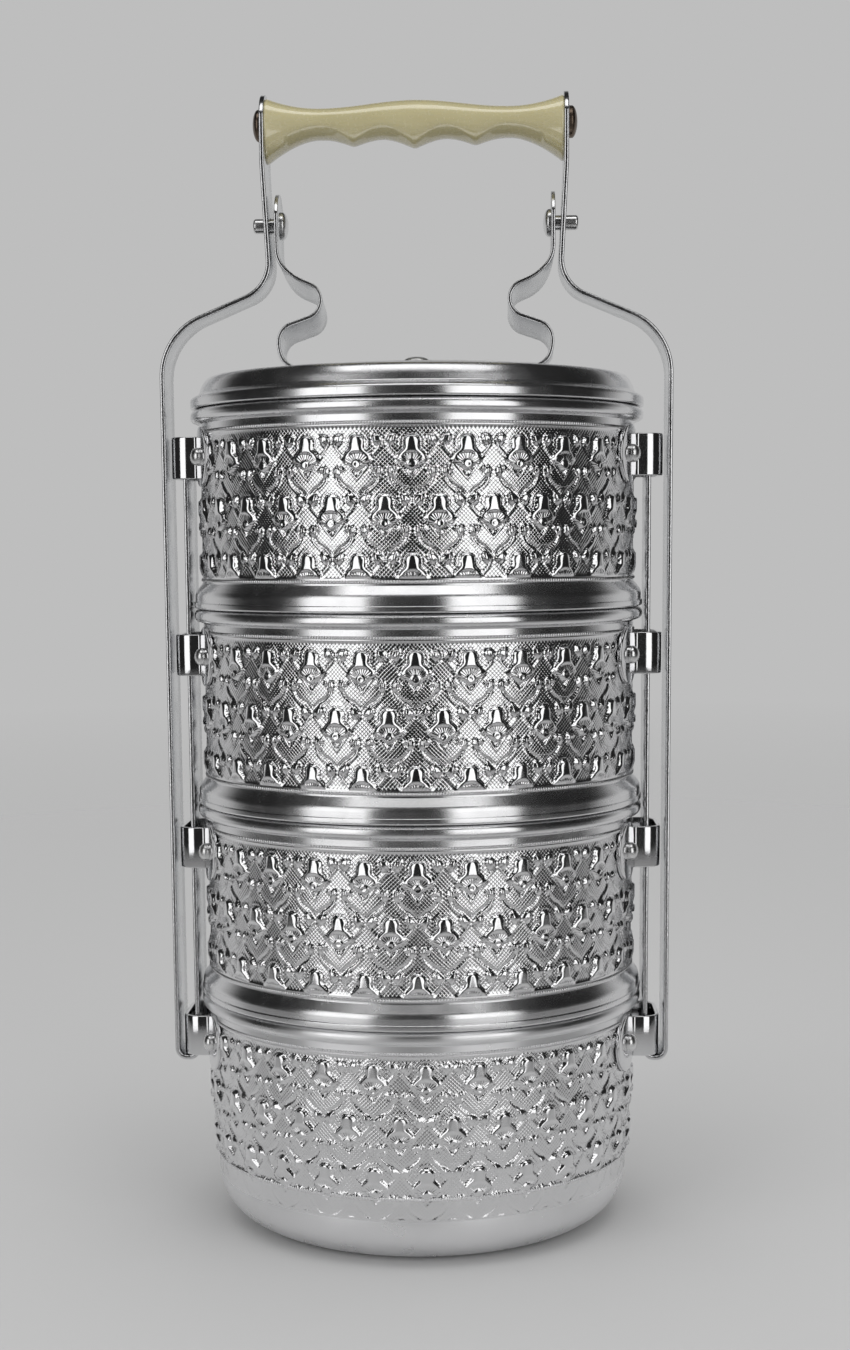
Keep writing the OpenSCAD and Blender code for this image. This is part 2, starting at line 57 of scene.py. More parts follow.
# Sizes of the bowls and the lid, as in the CAD source
BOWL_R = 69.4
SHEET = 1.0
BRIM_REACH = 2.8
BRIM_H = 2.0
BRIM_STEP = 0.4
RIM_H = 4.5
FLARE_H = 8.0
PLUG_DEPTH = 5.0
PLUG_GAP = 0.5
SEAT_GAP = 0.2
BASE_ROUND = 16.0
BASE_INSET = 3.0
BASE_WALL_Z = 40.0
BASE_WALL_ROUND = 40.0
LID_BRIM_H = 3.1
LID_STEP = 2.8
LID_STEP_RISE = 1.5
LID_SHOULDER_H = 9.8
LID_SHOULDER_R = 66.8
LID_CROWN = 3.8
LID_EDGE_ROUND = 1.4
LID_STEP_ROUND = 0.8
LID_SHOULDER_ROUND = 3.2
WALL_BULGE = 0.45
WALL_ROUND = 7.0
LID_COLUMNS = 288
CREASE = 0.35
BRIM_ROUND = 0.7
RIM_ROUNDS = (1.6, 1.9)
PLUG_ROUND = 3.0
FLARE_SHARE = 0.6
FLARE_ROUND = 3.0
INNER_STEP = 0.5
INNER_STEP_ROUND = 1.0
INNER_FOOT_ROUND = 2.0
INNER_R = BOWL_R - SHEET
BRIM_R = BOWL_R + BRIM_REACH
PLUG_R = INNER_R - PLUG_GAP
FLARE_R = BRIM_R - BRIM_STEP


def low(node):
    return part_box(node)[0] / MM


def high(node):
    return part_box(node)[1] / MM


# Heights of the seams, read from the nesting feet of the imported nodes
SEAMS = [low(n).z + PLUG_DEPTH for n in ("second_bowl", "third_bowl", "top_bowl", "lid")]
TIER_PITCH = SEAMS[1] - SEAMS[0]
TOP_SEAM = SEAMS[3]

# Sizes of the ears, rivets, frame, grip and latch
EAR_DROP = 15.0
EAR_H = 13.2
EAR_T = 1.2
EAR_SEAT = 0.1
EAR_BEND = 5.0
EAR_ROOT_ROUND = 1.4
EAR_EDGE = 0.35
EAR_END_SHORT = 3.0
FLANGE_R = 9.3
FLANGE_EDGE = 0.5
FLANGE_SIDES = 56
RIVET_ANGLE = 17.5
RIVET_HEAD_R = 2.8
RIVET_TAIL_H = 0.75
RIVET_EDGE = 0.3
RIVET_SIDES = 32
STRAP_W = 20.0
STRAP_T = 1.5
SPRING_T = 1.2
PRONG_GAP = 0.6
PRONG_PLAY = 2.6
PRONG_SIDE_PLAY = 1.3
END_ROUNDNESS = 0.53
FACE_GAP = 0.05
CROWN_Z = TOP_SEAM + LID_SHOULDER_H + LID_CROWN
CROWN_BALL_R = (LID_SHOULDER_R**2 + LID_CROWN**2) / (2 * LID_CROWN)
GRIP_L = high("handle_grip").x - low("handle_grip").x
ROD_Z = (high("handle_rod").z + low("handle_rod").z) / 2
STUD_Z = (high("left_stud").z + low("left_stud").z) / 2
STRAP_TOP = high("left_frame_strap").z
STRAP_X = high("right_frame_strap").x - STRAP_T / 2
PRONG_X = BRIM_R + PRONG_GAP + STRAP_T / 2
EAR_X = PRONG_X + STRAP_T / 2 + PRONG_PLAY + EAR_T / 2
NECK_X = GRIP_L / 2 + FACE_GAP + STRAP_T / 2


def ear_z(tier):
    return SEAMS[tier] - EAR_DROP


# Mesh helpers
def step(x, a, b):
    """Smooth rise from 0 at a to 1 at b."""
    t = np.clip((x - a) / (b - a), 0, 1)
    return t * t * (3 - 2 * t)


def rounded(corners, turn=6.0):
    """Points of a line through corners (x, y, bend radius), each bend drawn in steps of turn degrees."""
    points = [np.array(corners[0][:2], float)]
    for before, here, after in zip(corners, corners[1:], corners[2:]):
        b = np.array(here[:2], float)
        u = np.array(before[:2], float) - b
        w = np.array(after[:2], float) - b
        u, w = u / np.linalg.norm(u), w / np.linalg.norm(w)
        half = math.acos(max(-1.0, min(1.0, float(u @ w)))) / 2
        radius = here[2]
        if radius <= 0 or half > math.radians(STRAIGHT_HALF):
            points.append(b)
            continue
        middle = b + (u + w) / np.linalg.norm(u + w) * radius / math.sin(half)
        first = b + u * radius / math.tan(half) - middle
        last = b + w * radius / math.tan(half) - middle
        angle = math.atan2(first[0] * last[1] - first[1] * last[0], float(first @ last))
        steps = max(2, math.ceil(abs(math.degrees(angle)) / turn))
        for a in np.linspace(0, angle, steps + 1):
            c, s = math.cos(a), math.sin(a)
            points.append(middle + np.array([first[0] * c - first[1] * s, first[0] * s + first[1] * c]))
    points.append(np.array(corners[-1][:2], float))
    return np.array(points)


def dense(line, gap):
    """The line with extra points, so that none lie further apart than gap."""
    out = [line[0]]
    for a, b in zip(line, line[1:]):
        n = max(1, math.ceil(np.linalg.norm(b - a) / gap))
        out += [a + (b - a) * k / n for k in range(1, n + 1)]
    return np.array(out)


def grid_faces(rows, columns):
    """Quads between neighbouring rows of points, closed round the columns."""
    i = np.arange(rows - 1)[:, None] * columns
    j = np.arange(columns)[None, :]
    k = (j + 1) % columns
    return np.stack([i + j, i + k, i + columns + k, i + columns + j], -1).reshape(-1, 4)


def capped_faces(rings, sides):
    """Faces of a row of closed rings, with a cap on each end."""
    last = (rings - 1) * sides
    caps = [list(range(sides))[::-1], list(range(last, last + sides))]
    return grid_faces(rings, sides).tolist() + caps


def mesh_of(name, points, faces, merge=True, sharp=SHARP_ANGLE):
    """A smooth-shaded mesh in metres. Merging closes poles and seams and turns the faces outwards."""
    mesh = bpy.data.meshes.new(name)
    mesh.from_pydata((np.asarray(points, float) * MM).tolist(), [], [list(map(int, f)) for f in faces])
    if merge:
        work = bmesh.new()
        work.from_mesh(mesh)
        bmesh.ops.remove_doubles(work, verts=work.verts, dist=1e-7)
        bmesh.ops.recalc_face_normals(work, faces=work.faces)
        work.to_mesh(mesh)
        work.free()
    mesh.polygons.foreach_set("use_smooth", [True] * len(mesh.polygons))
    mesh.set_sharp_from_angle(angle=math.radians(sharp))
    mesh.update()
    return mesh


def new_object(name, data):
    """An object for a mesh, lamp or camera, put into the scene."""
    obj = bpy.data.objects.new(name, data)
    bpy.context.scene.collection.objects.link(obj)
    return obj


def piece(name, mesh, material, body, slot, replaces=None, height=0.0):
    """An object that rides on a body, set up by height, and stands for a CAD node if one is named."""
    obj = new_object(name, mesh)
    obj.location.z = height * MM
    if material.name not in mesh.materials:
        mesh.materials.append(material)
    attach(obj, body)
    if replaces:
        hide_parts(replaces)


def turned_part(profile, columns, place=None):
    """Points and quads of a profile of (r, z) turned about Z. A place, if given, maps points to points."""
    a = np.linspace(0, 2 * math.pi, columns, endpoint=False)
    r, z = np.asarray(profile, float).T
    height = np.repeat(z[:, None], columns, 1)
    points = np.stack([np.outer(r, np.cos(a)), np.outer(r, np.sin(a)), height], -1).reshape(-1, 3)
    return place(points) if place else points, grid_faces(len(r), columns)


def turned_mesh(name, profile, columns=216):
    return mesh_of(name, *turned_part(profile, columns))


def dome_profile(radius, height, collar, edge):
    """Profile of a domed head on a short collar, from its rim up to its top."""
    corner = [(radius, 0.0), (radius, collar)]
    arc = [
        (radius * math.cos(a), collar + (height - collar) * math.sin(a))
        for a in np.linspace(0, math.pi / 2, DOME_POINTS)
    ]
    return [(radius - edge, -HEAD_SINK)] + corner + arc[1:]


def joined(parts):
    """Several (points, faces) as one."""
    points, faces, start = [], [], 0
    for p, f in parts:
        points.append(np.asarray(p, float))
        faces += [[int(i) + start for i in face] for face in f]
        start += len(p)
    return np.concatenate(points), faces


def along_x(origin, sign):
    """A place that lays Z along +X or -X, from a point."""
    return lambda p: np.stack([origin[0] + sign * p[:, 2], origin[1] + p[:, 0], origin[2] + p[:, 1]], -1)


def strip_part(line, half_width, thickness, edge, place):
    """A bent strip of sheet with rounded edges: half_width gives each point's reach across the line."""
    heading = np.gradient(line, axis=0)
    heading /= np.linalg.norm(heading, axis=1)[:, None]
    normal = np.stack([-heading[:, 1], heading[:, 0]], -1)
    quarter = np.linspace(0, math.pi / 2, 4)
    ring = []
    for turn, (sa, sb) in enumerate(((1, 1), (-1, 1), (-1, -1), (1, -1))):
        arc = quarter if turn % 2 == 0 else quarter[::-1]
        ring += [(sa, sb, math.cos(q), math.sin(q)) for q in arc]
    rows = []
    for p, n, w in zip(line, normal, half_width):
        e = min(edge, w * EDGE_LIMIT)
        rows.append([
            (*(p + n * sb * (thickness / 2 - edge + edge * b)), sa * (w - e + e * a)) for sa, sb, a, b in ring
        ])
    return place(np.array(rows).reshape(-1, 3)), capped_faces(len(line), len(ring))


def upright(sign):
    """A place for a strip whose line lies in the XZ plane, mirrored to one side."""
    return lambda p: np.stack([sign * p[:, 0], p[:, 2], p[:, 1]], -1)


# Material helpers
def material(name, metallic, roughness, colour):
    """A material with its node tree and shader."""
    made = bpy.data.materials.new(name)
    made.use_nodes = True
    shader = made.node_tree.nodes["Principled BSDF"]
    shader.inputs["Metallic"].default_value = metallic
    shader.inputs["Roughness"].default_value = roughness
    shader.inputs["Base Color"].default_value = (*colour, 1)
    return made, made.node_tree, shader


def add(tree, kind, **values):
    """A node with the given attributes and input values."""
    node = tree.nodes.new(kind)
    for key, value in values.items():
        if key in node.inputs:
            node.inputs[key].default_value = value
        else:
            setattr(node, key, value)
    return node


def math_node(tree, operation, a, b=None):
    """A Math node on sockets or numbers."""
    node = add(tree, "ShaderNodeMath", operation=operation)
    for socket, value in zip(node.inputs, (a, b)):
        if value is None:
            continue
        if isinstance(value, (int, float)):
            socket.default_value = value
        else:
            tree.links.new(value, socket)
    return node.outputs[0]


def fed(tree, kind, output, sources, **values):
    """An output of a new node, with sources linked to its inputs."""
    node = add(tree, kind, **values)
    for key, source in sources.items():
        tree.links.new(source, node.inputs[key])
    return node.outputs[output]


def noise(tree, vector, scale, detail=3.0):
    return fed(tree, "ShaderNodeTexNoise", "Fac", {"Vector": vector}, Scale=scale, Detail=detail)


def ranged(tree, value, low_in, high_in, low_out, high_out):
    limits = {"From Min": low_in, "From Max": high_in, "To Min": low_out, "To Max": high_out}
    return fed(tree, "ShaderNodeMapRange", "Result", {"Value": value}, **limits)


def object_place(tree):
    return add(tree, "ShaderNodeTexCoord").outputs["Object"]


def separated(tree, vector):
    """The X, Y and Z sockets of a vector."""
    node = add(tree, "ShaderNodeSeparateXYZ")
    tree.links.new(vector, node.inputs[0])
    return list(node.outputs)


def mixed(tree, share, first, second, output):
    """Sends a mix of two shaders to an output node: the first at share 0 and the second at share 1."""
    mix = add(tree, "ShaderNodeMixShader")
    for source, socket in zip((share, first.outputs[0], second.outputs[0]), mix.inputs):
        tree.links.new(source, socket)
    tree.links.new(mix.outputs[0], tree.nodes[output].inputs["Surface"])


def stretched(tree, vector, scale):
    """A place whose textures are drawn out along the axes with a small scale."""
    return fed(tree, "ShaderNodeMapping", "Vector", {"Vector": vector}, Scale=scale)


def roughened(tree, shader, value, spread, low_out, high_out):
    """Roughness that runs between two levels as a value crosses a spread."""
    tree.links.new(ranged(tree, value, *spread, low_out, high_out), shader.inputs["Roughness"])


def bumped(tree, height, strength, distance_mm, normal=None):
    sources = {"Height": height, "Normal": normal} if normal else {"Height": height}
    return fed(tree, "ShaderNodeBump", "Normal", sources, Strength=strength, Distance=distance_mm * MM)


def tinted(tree, shader, value, dark, light):
    """Base colour that runs from dark to light with a value."""
    ramp = add(tree, "ShaderNodeValToRGB")
    ramp.color_ramp.elements[0].color = (*dark, 1)
    ramp.color_ramp.elements[1].color = (*light, 1)
    tree.links.new(value, ramp.inputs["Fac"])
    tree.links.new(ramp.outputs["Color"], shader.inputs["Base Color"])


def grey(level):
    return (level, level, level)


# Looks of the metals and the plastic: noise scales per metre, and bumps as (strength, depth in millimetres)
SPUN_ANISOTROPY = 0.6
SPUN_ROTATION = 0.25
RING_NOISE = 2600.0
SPUN_MARKS = 90.0
STAIN_NOISE = 22.0
STAIN_SHADE = 0.93
STAIN_BUMP = (0.05, 0.8)
LINE_DEPTH = 0.05
PRESSED_MARKS = 120.0
PRESSED_SHADE = 0.9
PRESSED_ROUGHNESS = (0.75, 1.35)
MARK_SPREAD = (0.35, 0.7)
WOBBLE_NOISE = 160.0
WOBBLE = 5.0
HATCH_DEPTH = 0.12
HATCH_POWER = 5.0
GRAIN_NOISE = 1500.0
GRAIN_STRETCH = 0.04
GRAIN_BUMP = (0.12, 0.05)
STRIP_MARKS = 140.0
STRIP_SPREAD = (0.3, 0.7)
STRIP_SHADE = 0.88
STRIP_ROUGHNESS = (0.7, 1.3)
DENT_NOISE = 700.0
DENT_DEPTH = 0.12
IVORY_DARK = (0.42, 0.375, 0.205)
IVORY_LIGHT = (0.53, 0.48, 0.285)
IVORY_BASE_ROUGHNESS = 0.26
IVORY_ROUGHNESS = (0.2, 0.3)
STREAK_NOISE = 180.0
STREAK_STRETCH = (0.25, 1.0, 1.0)
SPECK_NOISE = 900.0
SPECK_BUMP = (0.05, 0.08)
IVORY_SHADER = {
    "Subsurface Weight": 0.12,
    "Subsurface Radius": (0.004, 0.003, 0.0015),
    "Specular IOR Level": 0.8,
    "Coat Weight": 1.0,
    "Coat IOR": 1.7,
    "Coat Roughness": 0.06,
}

# Finest lines of a motif, in millimetres, and the angle between the ribs of its shell
FAN_AT = (0.0, 6.3)
FAN_REACH = (1.5, 3.6)
FAN_SOFT = 0.2
FAN_TURN = (1.5, 1.7)
RIB_ANGLE = 0.25
CHEVRON = ((4.3, 5.2), (0.0, 10.6))
CHEVRON_GAP = 0.7
CHEVRON_LINE = (0.1, 0.5)
CHEVRON_SOFT = 0.3
MOTIF_REACH = 6.5


def spun_metal(name, roughness, spread, line_strength, colour):
    """Polished or satin aluminium with fine turned lines round its axis, handling marks and soft stains."""
    made, tree, shader = material(name, 1.0, roughness, colour)
    calc = partial(math_node, tree)
    shader.inputs["Anisotropic"].default_value = SPUN_ANISOTROPY
    shader.inputs["Anisotropic Rotation"].default_value = SPUN_ROTATION
    turned = add(tree, "ShaderNodeTangent", direction_type="RADIAL", axis="Z")
    tree.links.new(turned.outputs[0], shader.inputs["Tangent"])
    place = object_place(tree)
    x, y, z = separated(tree, place)
    radius = calc("SQRT", calc("ADD", calc("MULTIPLY", x, x), calc("MULTIPLY", y, y)))
    rings = fed(tree, "ShaderNodeCombineXYZ", "Vector", {"X": radius, "Z": z})
    lines = noise(tree, rings, RING_NOISE, 2.0)
    marks = noise(tree, place, SPUN_MARKS, 6.0)
    stains = noise(tree, place, STAIN_NOISE, 3.0)
    roughened(tree, shader, marks, MARK_SPREAD, roughness - spread, roughness + spread)
    tinted(tree, shader, stains, tuple(c * STAIN_SHADE for c in colour), colour)
    soft = bumped(tree, stains, *STAIN_BUMP)
    tree.links.new(bumped(tree, lines, line_strength, LINE_DEPTH, soft), shader.inputs["Normal"])
    return made


def scored(tree, phase):
    """Narrow parallel lines, one to each turn of a phase."""
    wave = math_node(tree, "MULTIPLY", math_node(tree, "SINE", phase), 0.5)
    return math_node(tree, "POWER", math_node(tree, "ADD", wave, 0.5), HATCH_POWER)


def engraved(tree):
    """(height, mask of the shell) of a motif's finest lines: the ribs of its shell and a double chevron."""
    calc = partial(math_node, tree)
    motif_place = add(tree, "ShaderNodeAttribute", attribute_name="motif")
    side, v, mask = separated(tree, motif_place.outputs["Vector"])
    up = calc("SUBTRACT", FAN_AT[1], v)
    reach = calc("SQRT", calc("ADD", calc("MULTIPLY", side, side), calc("MULTIPLY", up, up)))
    turn = calc("ARCTAN2", side, up)
    ribs = calc("COSINE", calc("MULTIPLY", turn, 2 * math.pi / RIB_ANGLE))
    inner, outer = FAN_REACH
    shell = calc("MULTIPLY", ranged(tree, reach, inner, inner + FAN_SOFT, 0.0, 1.0),
                 ranged(tree, reach, outer, outer + FAN_SOFT, 1.0, 0.0))
    shell = calc("MULTIPLY", calc("MULTIPLY", shell, mask), ranged(tree, turn, *FAN_TURN, 1.0, 0.0))
    (far, start), (_, foot) = CHEVRON
    slope = (foot - start) / far
    past = calc("SUBTRACT", calc("ADD", v, calc("MULTIPLY", side, slope)), foot)
    line = ranged(tree, calc("ABSOLUTE", calc("SUBTRACT", past, CHEVRON_GAP)), *CHEVRON_LINE, -1.0, 0.0)
    ends = ranged(tree, side, far, far + CHEVRON_SOFT, 1.0, 0.0)
    line = calc("MULTIPLY", calc("MULTIPLY", line, mask), ends)
    return calc("ADD", calc("MULTIPLY", ribs, shell), line), shell


def embossed_metal(name, roughness, hatch_pitch, hatch_strength, colour):
    """Pressed aluminium with a fine cross-hatched ground, drawn on the UV map, which is in millimetres."""
    made, tree, shader = material(name, 1.0, roughness, colour)
    calc = partial(math_node, tree)
    coordinates = add(tree, "ShaderNodeTexCoord")
    place = coordinates.outputs["Object"]
    u, v, _ = separated(tree, coordinates.outputs["UV"])
    turn = 2 * math.pi / hatch_pitch
    slack = calc("MULTIPLY", noise(tree, place, WOBBLE_NOISE, 2.0), WOBBLE)
    phases = [calc("MULTIPLY", calc(way, u, v), turn) for way in ("ADD", "SUBTRACT")]
    hatch = calc("ADD", *(scored(tree, calc("ADD", phase, slack)) for phase in phases))
    ground = add(tree, "ShaderNodeAttribute", attribute_name="ground").outputs["Fac"]
    lines, shell = engraved(tree)
    bare = calc("MULTIPLY", ground, calc("SUBTRACT", 1.0, shell))
    cut = calc("SUBTRACT", lines, calc("MULTIPLY", hatch, bare))
    marks = noise(tree, place, PRESSED_MARKS, 5.0)
    roughened(tree, shader, marks, MARK_SPREAD, *(roughness * share for share in PRESSED_ROUGHNESS))
    tinted(tree, shader, marks, tuple(c * PRESSED_SHADE for c in colour), colour)
    tree.links.new(bumped(tree, cut, hatch_strength, HATCH_DEPTH), shader.inputs["Normal"])
    return made


def strip_metal(name, roughness, colour, grain_axis, dent_strength):
    """Rolled strip: grain drawn out along one axis, scattered scratches and soft dents."""
    made, tree, shader = material(name, 1.0, roughness, colour)
    place = object_place(tree)
    along = stretched(tree, place, [GRAIN_STRETCH if axis == grain_axis else 1.0 for axis in "XYZ"])
    grain = noise(tree, along, GRAIN_NOISE, 3.0)
    marks = noise(tree, place, STRIP_MARKS, 6.0)
    roughened(tree, shader, marks, STRIP_SPREAD, *(roughness * share for share in STRIP_ROUGHNESS))
    tinted(tree, shader, marks, tuple(c * STRIP_SHADE for c in colour), colour)
    dents = bumped(tree, noise(tree, place, DENT_NOISE, 2.0), dent_strength, DENT_DEPTH)
    tree.links.new(bumped(tree, grain, *GRAIN_BUMP, dents), shader.inputs["Normal"])
    return made


def moulded_plastic():
    """Glossy ivory plastic with faint flow streaks and specks."""
    made, tree, shader = material("ivory_plastic", 0.0, IVORY_BASE_ROUGHNESS, IVORY_LIGHT)
    place = object_place(tree)
    streaks = noise(tree, stretched(tree, place, STREAK_STRETCH), STREAK_NOISE, 4.0)
    specks = noise(tree, place, SPECK_NOISE, 2.0)
    tinted(tree, shader, streaks, IVORY_DARK, IVORY_LIGHT)
    roughened(tree, shader, specks, STRIP_SPREAD, *IVORY_ROUGHNESS)
    tree.links.new(bumped(tree, specks, *SPECK_BUMP), shader.inputs["Normal"])
    for key, value in IVORY_SHADER.items():
        shader.inputs[key].default_value = value
    return made


ALUMINIUM = (0.88, 0.88, 0.89)
POLISHED = spun_metal("polished_aluminium", 0.25, 0.05, 0.10, ALUMINIUM)
SATIN = spun_metal("satin_aluminium", 0.34, 0.08, 0.22, (0.94, 0.94, 0.95))
EMBOSSED = embossed_metal("embossed_aluminium", 0.12, 1.25, 0.3, ALUMINIUM)
EMBOSSED_SATIN = embossed_metal("embossed_satin_aluminium", 0.17, 1.25, 0.3, (0.9, 0.9, 0.91))
STRAP_METAL = strip_metal("strap_aluminium", 0.24, (0.84, 0.85, 0.86), "Z", 0.25)
SPRING_METAL = strip_metal("spring_steel", 0.26, (0.80, 0.81, 0.82), "X", 0.2)
SHEARED = strip_metal("sheared_edge", 0.2, (0.8, 0.8, 0.81), "Y", 0.45)
EAR_METAL = strip_metal("ear_aluminium", 0.1, (0.85, 0.85, 0.86), "X", 0.06)
RIVET_METAL = strip_metal("rivet_aluminium", 0.27, (0.88, 0.88, 0.88), "X", 0.1)
ROD_METAL = strip_metal("rod_steel", 0.34, (0.17, 0.13, 0.10), "X", 0.35)
IVORY = moulded_plastic()


# Embossed pattern, in millimetres: u to the side of a motif's middle line, v below its knob
MOTIFS = 27
BELL = ((0.0, -2.3), (1.3, -2.1), (2.2, -1.4), (2.5, -0.5), (2.4, 0.5), (2.25, 1.3), (2.7, 2.0), (3.7, 2.9),
        (4.3, 3.8), (4.45, 4.7), (4.0, 5.4), (3.3, 5.1), (2.6, 4.0), (1.7, 3.2), (0.8, 2.95), (0.0, 2.9))
BELL_HEIGHT = 1.35
BELL_BEVEL = 0.6
FRONT_HALF = 0.7
FRONT_SPREAD = 0.2
FRONT_SPAN = (-2.0, 5.0)
FACET_SLOPE = 0.34
FACET_ROUND = 0.25
FAN_HEIGHT = 0.85
FAN_EDGE = 0.5
FAN_FOOT = (7.4, 8.6)
FAN_LEAN = 0.75
EYE_R = 1.0
EYE_RIDGE = (0.5, 0.5)
PUPIL_RIDGE = (0.5, 0.4)
CHEVRON_FOOT = ((0.0, 7.2), (1.3, 7.3), (0.0, 9.6))
LEAF = ((0.0, 11.0), (4.3, 6.2), (5.2, 6.4), (6.2, 7.4), (6.4, 8.6), (5.8, 10.4), (4.6, 11.9), (3.0, 12.9),
        (1.4, 13.9), (0.0, 14.4))
STEM = ((6.1, 8.9), (5.9, 10.2), (5.1, 11.6), (3.8, 12.6), (2.4, 13.3), (1.6, 14.2), (1.1, 15.5))
LIP = ((6.7, 8.7), (6.4, 10.5), (5.5, 12.1), (4.0, 13.3), (2.8, 13.9), (2.2, 14.8))
HALO = ((7.2, -0.4), (6.9, 0.9), (6.0, 2.2), (4.9, 3.3), (4.4, 4.6))
KNOB_HALO = ((0.0, -3.3), (1.7, -3.0), (2.8, -2.0), (3.3, -0.5), (3.2, 1.0))
LEAF_BEVEL = 0.5
LEAF_HEIGHT = 0.14
# Raised lines with their half width and height
RIDGES = ((CHEVRON, 0.4, 0.35), (HALO, 0.4, 0.35), (KNOB_HALO, 0.35, 0.25), (LIP, 0.45, 0.28))
# Middle, radii, tilt and height of the drops beside a knob and of the curled heads of the leaves
SCROLLS = (((5.6, -0.9), (0.8, 1.9), -0.35, 0.95), ((6.6, -1.3), (0.7, 1.5), -0.55, 0.85),
           ((6.3, 8.2), (0.8, 1.7), 0.1, 0.95), ((4.8, 7.6), (0.7, 0.9), 0.3, 0.6))
STEM_DEPTH = 0.42
STEM_HALF = 0.4
CURL_AT = (5.2, 8.4)
CURL_DEPTH = 0.45
CURL_R = 0.6
FOOT_DEPTH = 0.5
GROOVE_BELOW = 0.7
BARE_BELOW = (0.42, 0.7)


def swell(u, v, at, radii, tilt, height):
    """A rounded boss with an elliptical outline, its first radius turned by tilt."""
    c, s = math.cos(tilt), math.sin(tilt)
    du, dv = u - at[0], v - at[1]
    q = ((du * c + dv * s) / radii[0]) ** 2 + ((dv * c - du * s) / radii[1]) ** 2
    return height * np.sqrt(np.clip(1 - q, 0, None))


def distance_to(u, v, line):
    """Distance to the nearest point of a line."""
    best = np.full(u.shape, 1e9)
    for (au, av), (bu, bv) in zip(line, line[1:]):
        du, dv = bu - au, bv - av
        t = np.clip(((u - au) * du + (v - av) * dv) / (du * du + dv * dv), 0, 1)
        best = np.minimum(best, np.hypot(u - au - t * du, v - av - t * dv))
    return best


def inside(u, v, outline):
    """True within a closed outline."""
    found = np.zeros(u.shape, bool)
    for (au, av), (bu, bv) in zip(outline, outline[1:] + outline[:1]):
        if av != bv:
            crosses = (av > v) != (bv > v)
            found ^= crosses & (u < (bu - au) * (v - av) / (bv - av) + au)
    return found


def ridge(distance, half_width, height):
    return height * np.clip(1 - (distance / half_width) ** 2, 0, None)


def swollen(u, v, outline, bevel, height):
    """A raised form within an outline whose ends lie on the middle line, rounded over from its edge."""
    depth = np.where(inside(u, v, outline), distance_to(u, v, outline), 0)
    return height * np.sqrt(1 - (1 - np.clip(depth / bevel, 0, 1)) ** 2)


def bell(side, v):
    """The raised bell: a front that widens downwards between two facets, with a rounded edge."""
    past_front = np.clip(side - FRONT_HALF - FRONT_SPREAD * np.clip(v, *FRONT_SPAN), 0, None)
    roof = BELL_HEIGHT - FACET_SLOPE * (np.hypot(past_front, FACET_ROUND) - FACET_ROUND)
    return swollen(side, v, BELL, BELL_BEVEL, roof)


def fan(side, v):
    """The low shell under a bell, with its eye."""
    reach = np.hypot(side - FAN_AT[0], v - FAN_AT[1])
    rounded_off = 1 - step(reach, FAN_REACH[1], FAN_REACH[1] + FAN_EDGE)
    shell = FAN_HEIGHT * rounded_off * (1 - step(v + FAN_LEAN * side, *FAN_FOOT))
    return shell + np.maximum(ridge(np.abs(reach - EYE_R), *EYE_RIDGE), ridge(reach, *PUPIL_RIDGE))


def motif(side, v):
    """(raised height, depth of grooves) of one motif."""
    forms = [bell(side, v), fan(side, v), swollen(side, v, LEAF, LEAF_BEVEL, LEAF_HEIGHT)]
    forms += [ridge(distance_to(side, v, line), *size) for line, *size in RIDGES]
    forms += [swell(side, v, *scroll) for scroll in SCROLLS]
    raised = np.maximum.reduce(forms)
    curl = np.hypot(side - CURL_AT[0], v - CURL_AT[1])
    groove = np.maximum.reduce([
        STEM_DEPTH * np.exp(-(distance_to(side, v, STEM) / STEM_HALF) ** 2),
        CURL_DEPTH * np.exp(-(curl / CURL_R) ** 2),
        FOOT_DEPTH * inside(side, v, CHEVRON_FOOT),
    ])
    return raised, groove * (raised < GROOVE_BELOW)


def relief(angle, drop, rows, row_pitch, phase):
    """Height, share of bare ground and place in a motif, by angle and by drop below the first knobs."""
    pitch = 2 * math.pi / MOTIFS
    height, groove = np.zeros(angle.shape), np.zeros(angle.shape)
    place = np.zeros((*angle.shape, 3))
    for row in range(rows):
        shifted = angle - phase - (row % 2) * pitch / 2
        side = np.abs(shifted - pitch * np.round(shifted / pitch)) * BOWL_R
        v = drop - row * row_pitch
        up, cut = motif(side, v)
        height, groove = np.maximum(height, up), np.maximum(groove, cut)
        near = np.hypot(side - FAN_AT[0], v - FAN_AT[1]) < MOTIF_REACH
        place = np.where(near[..., None], np.stack([side, v, np.ones_like(v)], -1), place)
    return height - groove, 1 - step(height, *BARE_BELOW), place


# Bowls
GROUND = 0.35
RECESS = 0.8
BAND_COLUMNS = MOTIFS * 36
BAND_ROW_GAP = 0.44
MILL_TEETH = MOTIFS * 18
MILL_HALF = 0.55
MILL_REACH = 0.42
MILL_SINK = 0.05
MILL_ROWS = 7
TOOTH_FLOOR = 0.1
BAND_EDGE = 0.9
EAR_MARGIN = (-0.6, 0.7)
FAINT = 0.3
UPPER_BAND = (10.0, TIER_PITCH - 8.1)
UPPER_KNOB = TIER_PITCH - 13.2
UPPER_ROWS = 3
UPPER_ROW_PITCH = 17.1
UPPER_MILLING = (9.0, TIER_PITCH - 7.3)
BOTTOM_BAND = (15.5, SEAMS[0] - 8.1)
BOTTOM_KNOB = SEAMS[0] - 12.6
BOTTOM_ROWS = 4
BOTTOM_ROW_PITCH = 16.3
BOTTOM_MILLING = (22.7, SEAMS[0] - 7.3)
FADE_Z = (22.0, 23.4)
PHASES = {"bottom": 3.2, "second": 1.5, "third": 1.4, "top": 0.9}


def rim_corners(top):
    return [
        (BOWL_R, top - RIM_H, CREASE),
        (BRIM_R, top - RIM_H + BRIM_REACH / 3, RIM_ROUNDS[0]),
        (BRIM_R, top, RIM_ROUNDS[1]),
        (INNER_R, top, CREASE),
    ]


